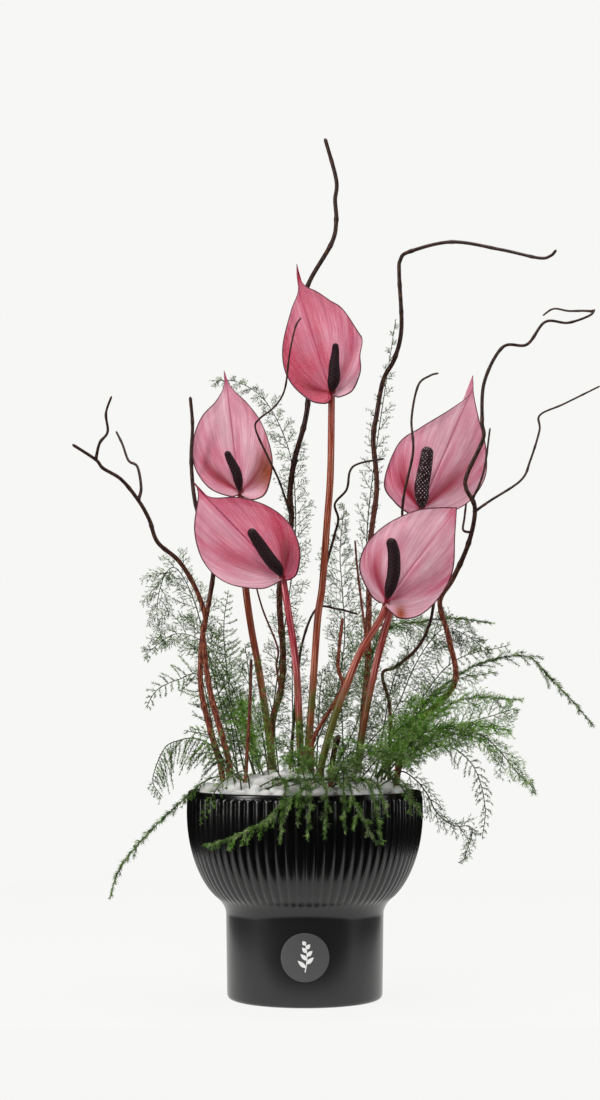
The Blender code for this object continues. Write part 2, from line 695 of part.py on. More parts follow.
def rounded_end(points, radii):
    """Add a smaller ring past the last point, so that a tube ends in a dome."""
    heading = (points[-1] - points[-2]).normalized()
    return points + [points[-1] + heading * radii[-1] * 0.7], radii + [radii[-1] * 0.5]


def build_flowers(group, obstacles, sockets):
    """Five flowers, each a stem, a blade and a spadix."""
    blade_paint = principled("pink_spathe", (0.55, 0.16, 0.25), 0.38)
    spadix_paint = principled("dark_spadix", (0.012, 0.003, 0.006), 0.5)
    stem_paint = principled("red_stem", (0.30, 0.065, 0.03), 0.42)
    for name, flower in FLOWERS.items():
        stem = rooted(places(flower["stem"]), STEM_END_HEIGHT)
        radii = tapered(stem, STEM_RADIUS_BASE, STEM_RADIUS_TOP)
        tube_mesh("stem_" + name, [(stem, radii)], group, 8, stem_paint)
        sockets.append(socket_for(stem, STEM_RADIUS_BASE))
        obstacles.add_route("stem_" + name, stem, STEM_RADIUS_BASE)
        spadix, girths = rounded_end(places(flower["spadix"]),
                                     [girth * MM for girth in flower["spadix_radii"]])
        tube_mesh("spadix_" + name, [(spadix, girths)], group, 8, spadix_paint)
        obstacles.add_route("spadix_" + name, spadix, max(girths))
        cloud = build_blade("spathe_" + name, flower, group, blade_paint)
        obstacles.add_cloud("spathe_" + name, cloud, BLADE_CLEARANCE)


# --- Willow -------------------------------------------------------------------------
def build_willow(group, cutters, obstacles, sockets):
    """Curly willow branches, each one body with its side twigs joined on."""
    bark = principled("willow_bark", (0.06, 0.02, 0.012), 0.6)
    for name, (trunk, girth, twigs) in WILLOW.items():
        node = "willow_" + name
        start, end, thin = [width * MM for width in girth]
        route = rooted(places(trunk), STEM_END_HEIGHT)
        branch = tube_mesh(node, [(route, tapered(route, start, end))], group, 6, bark)
        sockets.append(socket_for(route, start))
        obstacles.add_route(node, route, start)
        side_routes = []
        for twig in twigs:
            path = places(twig)
            side_routes.append((path, tapered(path, thin, thin * TWIG_RADIUS_SHARE)))
            obstacles.add_route(node, path, thin)
        if side_routes:
            boolean(branch, 'UNION', hide(tube_mesh(node + "_twigs", side_routes, cutters, 6)))


# --- Ferns --------------------------------------------------------------------------
def at_share(points, share):
    """The place and heading at a share of a route's length."""
    lengths = [(after - before).length for before, after in zip(points, points[1:])]
    left = share * sum(lengths)
    for index, length in enumerate(lengths):
        if left <= length or index == len(lengths) - 1:
            heading = (points[index + 1] - points[index]).normalized()
            return points[index] + heading * left, heading
        left -= length


def side_sprays(owner, spine, count, length, droop, sides, obstacles):
    """Short sprays that leave the spine by turns to either side, where there is room."""
    chance = random.Random(owner)
    sprays = []
    for number in range(count):
        share = FIRST_SPRAY + (0.97 - FIRST_SPRAY) * (number + 0.5) / count
        root, heading = at_share(spine, share)
        across = heading.cross(VIEW).normalized()
        turn = 1 if number % 2 else -1
        if sides == "low" and across.z * turn > 0:
            turn = -turn
        reach = length * MM * (0.55 + 0.45 * math.sin(math.pi * share))
        reach *= chance.uniform(0.8, 1.15)
        angle = SPRAY_ANGLE * chance.uniform(0.8, 1.2)
        away = heading * math.cos(angle) + across * turn * math.sin(angle)
        away += VIEW * chance.uniform(-0.25, 0.25)
        away.normalize()
        for scale in (1.0, 0.7, 0.45):
            end = root + (away + DOWN * droop) * reach * scale
            if obstacles.free(owner, [root, end]):
                sprays.append([root, end])
                break
    return sprays


def build_ferns(group, cutters, obstacles, sockets):
    """Asparagus-fern fronds: a spine with its side sprays joined on."""
    green = principled("fern_green", (0.06, 0.16, 0.04), 0.6)
    spines = {}
    for name, spec in FERNS.items():
        spines[name] = rooted(places(spec[0]), FERN_END_HEIGHT)
        obstacles.add_route("fern_" + name, spines[name], SPINE_RADIUS)
        sockets.append(socket_for(spines[name], SPINE_RADIUS))
    for name, (_, count, length, droop, sides) in FERNS.items():
        node = "fern_" + name
        spine = spines[name]
        radii = tapered(spine, SPINE_RADIUS, SPRAY_RADIUS)
        frond = tube_mesh(node, [(spine, radii)], group, 4, green)
        sprays = side_sprays(node, spine, count, length, droop, sides, obstacles)
        routes = []
        for spray in sprays:
            routes.append((spray, tapered(spray, SPRAY_RADIUS, SPRAY_TIP_RADIUS)))
            obstacles.add_route(node, spray, SPRAY_RADIUS)
        if routes:
            boolean(frond, 'UNION', hide(tube_mesh(node + "_sprays", routes, cutters, 4)))


def main():
    """Build the whole arrangement."""
    clear_scene()
    parts = new_collection("anthurium_in_a_vase")
    cutters = new_collection("cutters")
    obstacles = Obstacles()
    sockets = []
    build_vase(parts)
    build_label(parts, cutters)
    build_flowers(parts, obstacles, sockets)
    build_willow(parts, cutters, obstacles, sockets)
    build_ferns(parts, cutters, obstacles, sockets)
    build_filling(parts, cutters, sockets)


main()
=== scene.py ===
"""Looks for an arrangement of anthuriums, curly willow and fern in a black ribbed vase.

Lengths are metres unless a name or a unit says millimetres.  The vase stands on
z = 0 with its axis on the origin, and the flowers face -Y.
"""
import math
from collections import namedtuple

import bpy
import numpy as np
from mathutils import Color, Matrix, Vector


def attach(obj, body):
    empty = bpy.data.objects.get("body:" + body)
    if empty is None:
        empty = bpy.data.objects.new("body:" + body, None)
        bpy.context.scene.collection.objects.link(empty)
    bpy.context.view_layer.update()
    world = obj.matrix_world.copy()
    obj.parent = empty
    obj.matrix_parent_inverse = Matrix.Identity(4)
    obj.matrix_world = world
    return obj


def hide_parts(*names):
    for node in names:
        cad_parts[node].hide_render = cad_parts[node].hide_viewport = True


bl_info = {
    "name": "Anthurium Arrangement",
    "version": (1, 0, 0),
    "blender": (4, 5, 0),
    "location": "View3D > Sidebar > Arrangement",
    "description": "Builds a ribbed vase with anthuriums, curly willow, fern and pebbles",
    "category": "Add Mesh",
}

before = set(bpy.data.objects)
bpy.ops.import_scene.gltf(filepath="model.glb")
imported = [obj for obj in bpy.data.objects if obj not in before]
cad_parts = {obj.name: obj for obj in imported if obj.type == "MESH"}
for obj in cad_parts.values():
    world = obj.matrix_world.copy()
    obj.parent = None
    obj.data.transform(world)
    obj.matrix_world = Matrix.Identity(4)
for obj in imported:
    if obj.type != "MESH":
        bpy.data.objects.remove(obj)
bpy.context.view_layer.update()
MM = 0.001
TAU = 2 * math.pi
VIEW = np.array((0.0, -1.0, 0.0))
UP = np.array((0.0, 0.0, 1.0))
# A Mix node's two colours going in and its colour coming out.
A, B, MIXED = 6, 7, 2

# Vase, in metres: a quarter-ellipse bowl on a plain foot.
VASE_HEIGHT = 0.1745
RIM_RADIUS = 0.1002
RIM_ROUND = 0.0015
BOWL_CENTRE = 0.157
BOWL_CORE = 0.0530
BOWL_REACH = 0.0475
BOWL_DROP = 0.0815
FOOT_TOP = 0.0668
FOOT_BOTTOM = 0.0657
FOOT_HEIGHT = 0.0715
FOOT_EDGE = 0.0040
FOOT_UNDERCUT = 0.0035
FILLET_LOW = 0.0700
FILLET_CORNER = 0.0778
FILLET_ANGLE = math.radians(64.4)
WALL = 0.006
CAVITY_RADIUS = 0.0595
CAVITY_FLOOR = 0.010
REED_TOP = 0.1702
REED_FOOT = 0.0835
REED_NOSE = 0.0022
REED_POWER = 2.2
BAND_SHARE = 0.55
COLUMNS_PER_REED = 10
# Heights between which the foot's plain glaze gives way to the bowl's.
GLAZE_TURNS = (0.085, 0.070)

# Label, pebbles and foam.
LABEL_RADIUS = 0.0199
LABEL_HEIGHT = 0.0415
PRINT_PROUD = 0.00102
BED_RADIUS = 0.0939
BED_EDGE = 0.173
BED_CROWN = 0.017
FOAM_TOP = 0.160

# Flowers, willow and fern.
STEM_END = 0.135
FERN_END = 0.166
ROOT_LEAN = 0.15
STEM_TOP = 0.0029
STEM_BASE = 0.0032
BLADE_LEAN = 0.28
BLADE_ARCH = 3.0
LOBE_CURL = 0.35
# On a blade: angles in degrees round the junction, depths as shares of the reach from
# it, and lengths in metres.
VALLEY_WIDTH = 11
VALLEY_DEPTH = 0.07
SWELL_ANGLE = 27
SWELL_WIDTH = 13
SWELL_HEIGHT = 0.04
# Width in degrees of the painted fold shade in each crease.
FOLD_SHADE_WIDTH = 12.5
GROOVE_WIDTH = 0.0011
GROOVE_DEPTH = 0.0007
RIBS_PER_TURN = 20
RIB_HEIGHT = 0.00022
MARGIN_WAVE = 0.0016
MARGIN_TURN = 0.0011
DARK_MARGIN = (0.0006, 0.0017)
MIDRIB_WIDTH = 0.0006
SIDE_COLUMNS = 120
BLADE_ROWS = 52
FLORET_PITCH = 0.0017
FLORET_HEIGHT = 0.0004
# A twig's tip beside its foot, and its rings' spacing in millimetres.
TWIG_SHARE = 0.7
TWIG_STEP = 1.4
# Spacing of the nodes on trunks and on twigs.
TRUNK_NODES = 0.034
TWIG_NODES = 0.026
# Length of a stem or branch along which V grows by 1.
TEXTURE_LENGTH = 0.1
SPINE_RADIUS = 0.00070
SPRAY_RADIUS = 0.00030
TWIGLET_RADIUS = 0.00016
TWIGLET_PITCH = 0.0027
FIRST_SPRAY = 0.20
# How far fronds reach in front of the vase's axis and behind it.
FERN_DEPTH = (0.110, 0.150)
# A real needle is about half as wide, which is too fine to show.
NEEDLE_WIDTH = 0.00044

# How each habit grows: spray spacing in metres, least and greatest tilt of a spray in
# degrees, needle length beside the usual, needle spacing on the sprays and on the
# spine in metres, and whether twiglets grow on the sprays.
Habit = namedtuple("Habit", "pitch least_tilt most_tilt scale gap spine_gap branched")
HABITS = {
    "cloud": Habit(0.0058, 38, 64, 1.0, 0.00060, 0.0008, True),
    "plume": Habit(0.0050, 26, 52, 1.3, 0.00055, 0.0006, True),
    "comb": Habit(0.0038, 60, 84, 1.2, 0.00036, 0.0010, False),
    "brush": Habit(0.0070, 18, 34, 1.7, 0.00032, 0.00020, False),
    "tail": Habit(0.0100, 34, 56, 1.7, 0.00026, 0.00018, False),
    "stroke": Habit(0.0030, 8, 44, 2.2, 0.00090, 0.0016, False),
}

# The stage: how far the floor lies under the vase, the camera's place beside the axis
# and its pitch, and each light's place, aim, size, power in watts and colour.
FLOOR_GAP = 0.0001
CAMERA_SIDE = -0.0041
CAMERA_PITCH = 4.13
LIGHTS = (
    ("left_box", (-1.55, -0.95, 0.75), (0.0, 0.0, 0.35), (0.45, 1.2), 16, "#FFFDFA"),
    ("right_box", (1.60, -0.45, 0.65), (0.0, 0.0, 0.30), (0.20, 1.0), 7, "#FFFFFF"),
    ("key", (-0.3, -1.6, 1.8), (0.0, 0.0, 0.40), (0.8, 0.6), 15, "#FFFDFA"),
    ("top", (0.1, 0.3, 1.8), (0.0, 0.0, 0.3), (0.9, 0.9), 14, "#FFFFFF"),
)

# For each flower: its flush from pale to crimson, how much more of it there is to the
# right of the axis, the extra along the creases, which is painted shade in their
# valleys, the paler share of its lobes, how red its stem is, how pale its florets'
# points are, its creases' angles from the axis, left and right, and how dark the
# painted shade of the fold in each crease is.
Flush = namedtuple("Flush", "base side crease lobe stem florets left right left_fold "
                            "right_fold")
FLUSH = {
    "top": Flush(0.70, -0.55, 0.30, 0.20, 0.1, 0.30, 58, 48, 1.0, 0.45),
    "upper_left": Flush(0.18, -0.06, 0.45, 0.15, 0.1, 0.25, 47, 57, 1.0, 0.7),
    "lower_left": Flush(0.50, 0.56, 0.30, 0.20, 0.9, 0.45, 29, 50, 0.35, 1.0),
    "upper_right": Flush(0.04, -0.30, 0.70, 0.00, 0.5, 1.00, 52, 26, 1.0, 0.8),
    "lower_right": Flush(0.00, -0.05, 0.55, 0.35, 0.3, 0.40, 54, 30, 0.75, 0.25),
}
# Brown bruises: flower, place right and up of the junction, and size, in millimetres.
STAINS = [("upper_left", 24, 18, 11), ("lower_right", 12, -10, 5)]
# Heights in millimetres between which each willow branch turns from red to dark brown.
REDNESS = {
    "centre": (230, 420), "right_tall": (250, 560), "left_forked": (300, 400),
    "left_upright": (290, 380), "right_forked": (300, 385), "wavy_right": (200, 330),
    "thin_centre": (200, 330), "short_red": (420, 520), "dark_stub": (170, 210),
    "left_stub": (170, 330), "low_twig": (180, 240),
}
# How much closer than usual a frond's side sprays stand.
DENSITY = {
    "right_bright": 1.1, "right_low": 0.9, "left_bright": 1.8, "upper_thin": 0.6,
    "right_far": 0.8, "upper_left": 0.85, "right_back": 1.2, "right_drape": 1.2,
}
# Low growth: its bow as a share of its length, and the radius and height in millimetres
# at which fronds cross the rim.
LOW_BOW = 0.22
RIM_CREST = (98.0, 186.0)
# Low growth among the stems, by where it stands: place on the pebbles, then the tip, in
# millimetres, the length of its sprays, how bright it is, from painted shade to fresh
# green, and its habit.
LOW_GROWTH = {
    "on_pebbles": [
        ((8, -44), (0, -86, 204), 18, 0.4, "plume"),
        ((24, -46), (40, -86, 204), 18, 0.35, "plume"),
        ((-4, -30), (-24, -66, 216), 15, 0.45, "plume"),
        ((18, -30), (32, -70, 218), 18, 0.35, "plume"),
        ((36, -34), (68, -72, 208), 17, 0.35, "plume"),
        ((-18, -36), (-44, -74, 204), 13, 0.5, "comb"),
        ((12, -62), (-6, -96, 196), 13, 0.3, "plume"),
        ((22, -62), (46, -92, 196), 14, 0.3, "plume"),
        ((20, -58), (58, -84, 214), 20, 0.55, "plume"),
        ((2, -56), (-14, -92, 206), 18, 0.55, "plume"),
        ((40, -50), (86, -62, 206), 20, 0.5, "plume"),
        ((30, -64), (22, -98, 196), 16, 0.5, "plume"),
        ((-6, -40), (-2, -52, 232), 14, 0.5, "plume"),
    ],
    "right": [
        ((52, -30), (98, -44, 236), 24, 0.75, "plume"),
        ((58, 0), (104, -8, 224), 24, 0.8, "plume"),
        ((62, 6), (186, -6, 252), 16, 0.6, "brush"),
        ((64, -20), (172, -40, 226), 14, 0.85, "brush"),
        ((60, 20), (180, 30, 300), 15, 0.3, "comb"),
        ((60, 10), (166, 16, 276), 18, 0.4, "cloud"),
        ((64, -10), (122, -30, 250), 22, 0.9, "plume"),
        ((60, -20), (140, -50, 226), 20, 0.75, "plume"),
        ((66, 14), (126, 10, 262), 26, 0.7, "plume"),
        ((66, 0), (156, -14, 218), 16, 0.5, "comb"),
    ],
    "between_stems": [
        ((34, 20), (30, 26, 268), 20, 0.2, "cloud"),
        ((-22, 10), (-34, 12, 262), 20, 0.25, "cloud"),
        ((-44, 24), (-52, 22, 300), 22, 0.2, "cloud"),
        ((-10, 40), (-12, 44, 320), 24, 0.15, "cloud"),
        ((10, 30), (16, 40, 280), 22, 0.2, "cloud"),
        ((60, 30), (92, 34, 296), 24, 0.15, "cloud"),
        ((46, 44), (70, 60, 320), 24, 0.15, "cloud"),
        ((-40, 44), (-86, 60, 250), 24, 0.2, "cloud"),
        ((-50, 30), (-92, 20, 300), 18, 0.25, "cloud"),
    ],
    "left": [
        ((-52, -20), (-96, -40, 206), 18, 0.4, "comb"),
        ((-48, -40), (-100, -44, 226), 16, 0.3, "comb"),
        ((-56, 4), (-70, -6, 250), 16, 0.3, "comb"),
        ((-30, -8), (-46, -18, 250), 22, 1.0, "stroke"),
        ((-34, -6), (-62, -22, 238), 20, 1.0, "stroke"),
    ],
    "over_rim": [
        ((-34, -60), (2, -111, 140), 7, 0.35, "tail"),
        ((-22, -62), (16, -111, 141), 7, 0.35, "tail"),
        ((-10, -62), (32, -110, 146), 7, 0.35, "tail"),
        ((-46, -56), (-20, -110, 137), 6, 0.35, "tail"),
        ((0, -60), (62, -109, 136), 9, 0.4, "tail"),
        ((14, -58), (67, -102, 158), 8, 0.3, "tail"),
        ((-38, -60), (-6, -108, 150), 6, 0.3, "tail"),
        ((56, -44), (96, -74, 156), 9, 0.25, "tail"),
    ],
}

# Each outline runs from the tip round one side to the notch, in the blade's own
# upright plane: (right, up) in millimetres from the junction with the stem.
FLOWERS = {
    "top": {
        "junction": (23, -18, 513),
        "axis": (-29, 95),
        "right": [(-30, 119), (-28, 109), (-23, 99), (-12, 93), (-1, 85), (10, 77), (23, 57),
                  (27, 49), (25, 35), (25, 19), (18, 2), (7, -4), (3, -3)],
        "left": [(-30, 119), (-30, 109), (-29, 93), (-35, 76), (-42, 46), (-41, 24), (-33, 7),
                 (-18, -7), (-6, -10), (-1, -7)],
        "spadix": [(23, -22.5, 515), (24, -26, 520), (25, -27.5, 526), (25, -29, 536),
                   (26, -30, 547), (26, -32, 554)],
        "spadix_radii": (2.2, 5.0, 5.3, 4.4, 3.1, 2.3),
        "stem": [(1, 10, 190), (6, 8, 249), (11, 4, 320), (15, 1, 349), (19, -4, 402),
                 (22, -9, 445), (23, -14, 511)],
    },
    "upper_left": {
        "junction": (-56, 0, 430),
        "axis": (-13, 101),
        "right": [(-15, 111), (-9, 96), (7, 79), (19, 61), (27, 37), (28, 19), (23, -1),
                  (15, -7), (8, -7), (3, -4)],
        "left": [(-15, 111), (-15, 96), (-22, 82), (-34, 68), (-41, 48), (-40, 24), (-27, 4),
                 (-9, -4), (-2, -3)],
        "spadix": [(-56, -4.5, 432), (-57, -8, 439), (-59, -9.5, 447), (-64, -11, 457),
                   (-67, -13, 464)],
        "spadix_radii": (2.0, 4.0, 4.2, 3.4, 2.4),
        "stem": [(-27, 30, 191), (-34, 29, 240), (-40, 27, 279), (-46, 24, 311),
                 (-51, 20, 346), (-54, 14, 385), (-55, 4, 427)],
    },
    "lower_left": {
        "junction": (-18, -46, 354),
        "axis": (-76, 79),
        "right": [(-78, 84), (-63, 70), (-38, 69), (-13, 61), (5, 46), (14, 24), (12, 4),
                  (7, -2), (3, -3)],
        "left": [(-78, 84), (-73, 72), (-76, 41), (-68, 14), (-49, -4), (-20, -10), (-3, -4)],
        "spadix": [(-20, -50.5, 356), (-23, -54, 361), (-29, -56, 368), (-38, -58, 381),
                   (-46, -61, 393)],
        "spadix_radii": (2.2, 5.0, 5.3, 4.8, 3.6),
        "stem": [(-3, -32, 189), (-5, -36, 239), (-7, -40, 275), (-10, -43, 301),
                 (-14, -44, 326), (-18, -42, 351)],
    },
    "upper_right": {
        "junction": (99, -6, 414),
        "axis": (48, 109),
        "right": [(49, 122), (49, 106), (53, 83), (59, 58), (58, 31), (44, 9), (24, -3),
                  (12, -6), (3, -5)],
        "left": [(49, 122), (47, 106), (27, 90), (2, 74), (-18, 59), (-31, 24), (-22, 6),
                 (-10, -4), (-3, -4)],
        "spadix": [(100, -11, 416), (100, -15, 423), (100, -16.5, 434), (103, -18, 451),
                   (105, -20, 467)],
        "spadix_radii": (2.4, 6.0, 6.4, 5.8, 4.8),
        "stem": [(45, 34, 192), (54, 31, 245), (64, 27, 290), (76, 22, 333), (89, 14, 372),
                 (99, -2, 411)],
    },
    "lower_right": {
        "junction": (67, -66, 332),
        "axis": (61, 81),
        "right": [(61, 81), (59, 57), (57, 28), (47, 7), (30, -10), (12, -14), (1, -6)],
        "left": [(61, 81), (46, 81), (26, 78), (1, 66), (-16, 49), (-22, 28), (-13, 6),
                 (-5, -1)],
        "spadix": [(68, -70.5, 336), (70, -74, 343), (73, -76, 356), (73, -78, 372),
                   (70, -80, 384)],
        "spadix_radii": (2.2, 4.8, 5.4, 5.0, 3.9),
        "stem": [(13, -42, 193), (25, -48, 238), (34, -53, 262), (46, -58, 291),
                 (62, -62, 317), (67, -61, 329)],
    },
}

# Willow: trunk route, radius at its foot and at its tip, then each side twig's route.
WILLOW = {
    "centre": (
        [(-30, 52, 192), (-28, 52, 234), (-21, 50, 260), (-19, 48, 293), (-22, 46, 348),
         (-12, 42, 406), (-13, 41, 432), (-9, 40, 462), (3, 36, 515), (-1, 36, 595),
         (4, 36, 620), (24, 34, 655), (28, 33, 675), (27, 32, 693), (28, 31, 711),
         (18, 29, 748)],
        (3.1, 1.7, 1.0),
        [[(-13, 41, 416), (-22, 6, 440), (-31, -9, 458), (-42, -18, 482), (-39, -24, 490),
          (-26, -34, 499), (-17, -42, 513), (-13, -50, 541), (-8, -52, 564), (-3, -50, 573)],
         [(-22, 49, 265), (-25, 56, 282), (-24, 60, 298), (-38, 64, 334), (-49, 68, 376)]],
    ),
    "right_tall": (
        [(47, 56, 192), (52, 58, 238), (56, 58, 291), (58, 55, 385), (64, 54, 439),
         (61, 52, 481), (64, 51, 504), (70, 49, 535), (80, 47, 554), (86, 45, 581),
         (84, 42, 628), (85, 40, 641), (93, 38, 648), (130, 30, 655), (172, 20, 646),
         (204, 8, 636), (214, 4, 637), (219, 2, 642)],
        (3.1, 1.3, 1.2),
        [[(56, 58, 293), (53, 62, 318), (50, 66, 342), (47, 68, 369), (45, 70, 394)]],
    ),
    "left_forked": (
        [(-64, -8, 194), (-67, -8, 209), (-81, -6, 260), (-87, -6, 307), (-85, -8, 322),
         (-93, -11, 346), (-107, -16, 369), (-125, -22, 385), (-132, -26, 404),
         (-141, -30, 420), (-155, -36, 437), (-170, -42, 446), (-176, -44, 453),
         (-195, -52, 465)],
        (2.9, 1.3, 1.3),
        [[(-141, -30, 420), (-139, -26, 431), (-143, -17, 450), (-151, -12, 456),
          (-157, -4, 471), (-163, 0, 483)],
         [(-176, -44, 453), (-172, -52, 466), (-165, -56, 475), (-166, -61, 490),
          (-161, -65, 504)]],
    ),
    "left_upright": (
        [(-72, 14, 193), (-76, 14, 207), (-89, 12, 258), (-89, 12, 299), (-86, 10, 317),
         (-79, 6, 358), (-80, 4, 375), (-94, 4, 419), (-98, 3, 457), (-97, 2, 488),
         (-99, 0, 513)],
        (2.8, 1.4, 0.0),
        [],
    ),
    "right_forked": (
        [(80, 10, 191), (85, 12, 213), (98, 14, 233), (129, 16, 265), (125, 13, 302),
         (117, 9, 330), (118, 6, 341), (127, -1, 355), (140, -10, 385), (145, -18, 414),
         (137, -24, 431), (138, -28, 443), (151, -34, 472), (150, -36, 487),
         (152, -38, 520), (168, -36, 550), (189, -32, 553), (205, -28, 573),
         (225, -24, 573), (244, -20, 580), (249, -18, 586)],
        (3.0, 1.0, 1.1),
        [[(247, -18, 584), (240, -10, 586), (228, -4, 587), (216, 2, 590), (207, 8, 585)],
         [(144, -17, 411), (158, -12, 421), (186, -2, 440), (195, 4, 458), (204, 12, 485),
          (205, 16, 499), (227, 24, 510), (260, 32, 527)],
         [(143, -21, 423), (148, -25, 433), (153, -27, 450), (158, -22, 483)],
         [(142, -13, 394), (136, -4, 397), (138, 6, 409), (142, 20, 434)]],
    ),
    "wavy_right": (
        [(74, 44, 192), (75, 44, 221), (74, 44, 249), (68, 40, 274), (79, 38, 280),
         (95, 34, 293), (105, 30, 308), (111, 24, 328), (109, 10, 346), (86, -20, 394),
         (83, -34, 419), (91, -44, 459), (90, -42, 488), (96, -36, 517), (106, -32, 526),
         (114, -28, 529)],
        (1.7, 0.9, 0.0),
        [],
    ),
    "thin_centre": (
        [(3, 62, 192), (7, 60, 251), (15, 50, 348), (25, 20, 391), (29, 8, 407),
         (26, 2, 420), (36, -2, 432), (39, -2, 448), (47, 2, 455), (69, 8, 460)],
        (1.7, 0.9, 0.0),
        [],
    ),
    "short_red": (
        [(6, -12, 194), (8, -14, 220), (31, -22, 260), (28, -22, 281), (32, -20, 321)],
        (2.3, 1.3, 0.0),
        [],
    ),
    "dark_stub": (
        [(22, -62, 192), (24, -66, 209), (28, -70, 223)],
        (2.6, 2.2, 0.0),
        [],
    ),
    "left_stub": (
        [(-49, -40, 195), (-46, -42, 248), (-45, -42, 286)],
        (1.7, 1.3, 0.0),
        [],
    ),
    "low_twig": (
        [(-13, 66, 190), (-8, 72, 251), (-3, 74, 298), (10, 74, 332), (28, 78, 333),
         (48, 82, 328)],
        (1.7, 0.9, 0.0),
        [],
    ),
}

# Fern sprays: spine route, length of the side sprays in millimetres, their droop as a
# share of that length, the sides they grow on, how bright the foliage is, from painted
# shade to fresh green, and its habit.
FERNS = {
    "right_bright": ([(70, -12, 194), (86, -18, 207), (105, -24, 219), (128, -28, 229),
                      (167, -30, 241), (178, -28, 245)], 34, -0.1, "both", 0.7, "cloud"),
    "right_low": ([(66, -30, 191), (80, -36, 204), (104, -42, 217), (133, -46, 224),
                   (152, -48, 219), (177, -46, 191), (192, -42, 177)],
                     24, 0.1, "both", 0.7, "plume"),
    "right_hanging": ([(76, 28, 189), (105, 32, 206), (126, 34, 211), (147, 32, 193),
                       (156, 28, 160), (153, 24, 131)], 12, 0.3, "both", 0.1, "comb"),
    "right_drape": ([(81, -4, 190), (95, -4, 183), (105, -4, 170), (112, -4, 156),
                     (126, -4, 145), (142, -4, 142), (134, -4, 113)],
                     15, 0.4, "both", 0.1, "cloud"),
    "right_far": ([(66, 50, 190), (102, 60, 241), (132, 52, 271), (163, 44, 286),
                   (195, 36, 289), (213, 32, 271), (230, 28, 253), (250, 22, 229)],
                  17, 0.3, "both", 0.35, "brush"),
    "right_level": ([(28, 79, 191), (48, 88, 234), (55, 88, 276), (66, 80, 305),
                     (81, 64, 318), (102, 52, 320), (128, 42, 323), (165, 30, 318)],
                     15, 0.0, "both", 0.6, "brush"),
    "right_back": ([(38, 74, 191), (79, 99, 238), (97, 98, 277), (111, 96, 301),
                    (127, 92, 316), (147, 84, 308), (167, 80, 293)],
                     30, 0.2, "both", 0.15, "cloud"),
    "centre": ([(16, 78, 191), (28, 94, 251), (36, 93, 305), (34, 90, 350), (32, 86, 386),
                (36, 82, 427)], 28, 0.0, "both", 0.2, "cloud"),
    "upper_thin": ([(50, 68, 191), (56, 76, 251), (57, 78, 323), (56, 80, 397),
                    (62, 78, 458), (71, 74, 521), (82, 68, 593)],
                     16, -0.2, "both", 0.1, "cloud"),
    "upper_left": ([(-32, 72, 191), (-27, 74, 251), (-12, 78, 359), (-8, 78, 413),
                    (-13, 76, 471), (-33, 70, 516), (-59, 64, 535), (-85, 60, 536)],
                     24, 0.2, "both", 0.1, "cloud"),
    "left_upper": ([(-60, 58, 192), (-73, 66, 243), (-93, 68, 322), (-104, 66, 353),
                    (-116, 64, 369), (-126, 62, 358), (-131, 60, 329), (-125, 60, 300)],
                     28, 0.2, "both", 0.2, "cloud"),
    "left_middle": ([(-46, 44, 192), (-62, 50, 238), (-69, 48, 282), (-71, 46, 317),
                     (-67, 44, 348)], 20, 0.0, "both", 0.3, "comb"),
    "left_bright": ([(-39, 8, 190), (-46, 2, 215), (-53, -2, 239), (-54, -4, 253)],
                     15, -0.3, "both", 1.0, "stroke"),
    "left_comb": ([(-69, 36, 191), (-79, 40, 221), (-91, 36, 271), (-110, 28, 269),
                   (-128, 24, 260), (-138, 22, 244)], 22, 0.0, "both", 0.25, "comb"),
    "left_arch": ([(-61, -26, 189), (-76, -28, 211), (-92, -26, 219), (-107, -22, 217),
                   (-119, -18, 210), (-129, -10, 184), (-121, -6, 169)],
                     22, 0.6, "low", 0.25, "comb"),
    "left_low": ([(-55, -58, 189), (-69, -57, 189), (-83, -55, 184), (-95, -52, 174),
                  (-128, -48, 143), (-153, -44, 113), (-162, -42, 87)],
                     9, 0.2, "both", 0.4, "brush"),
    "left_drape": ([(-48, -70, 192), (-60, -72, 189), (-69, -74, 183), (-76, -77, 172),
                    (-86, -75, 150)], 8, 0.2, "both", 0.5, "comb"),
    "front_left": ([(14, -76, 196), (6, -90, 187), (-3, -103, 179), (-20, -108, 166),
                    (-34, -105, 153), (-67, -88, 137), (-83, -74, 133)],
                     11, 0.4, "low", 0.45, "tail"),
    "front_right": ([(32, -72, 196), (35, -92, 185), (38, -103, 174), (41, -106, 166),
                     (57, -101, 136)], 15, 0.2, "both", 0.25, "tail"),
    "rim_right": ([(62, -54, 193), (73, -64, 186), (81, -72, 178), (85, -75, 170),
                   (87, -73, 158)], 11, 0.2, "both", 0.2, "tail"),
    "back_left": ([(-46, 68, 195), (-62, 102, 255), (-88, 122, 300), (-118, 132, 312),
                   (-148, 130, 292)], 30, 0.1, "both", 0.3, "cloud"),
    "back_right": ([(4, 81, 195), (34, 114, 265), (62, 136, 312), (92, 150, 325),
                    (128, 154, 300)], 30, 0.1, "both", 0.4, "cloud"),
}


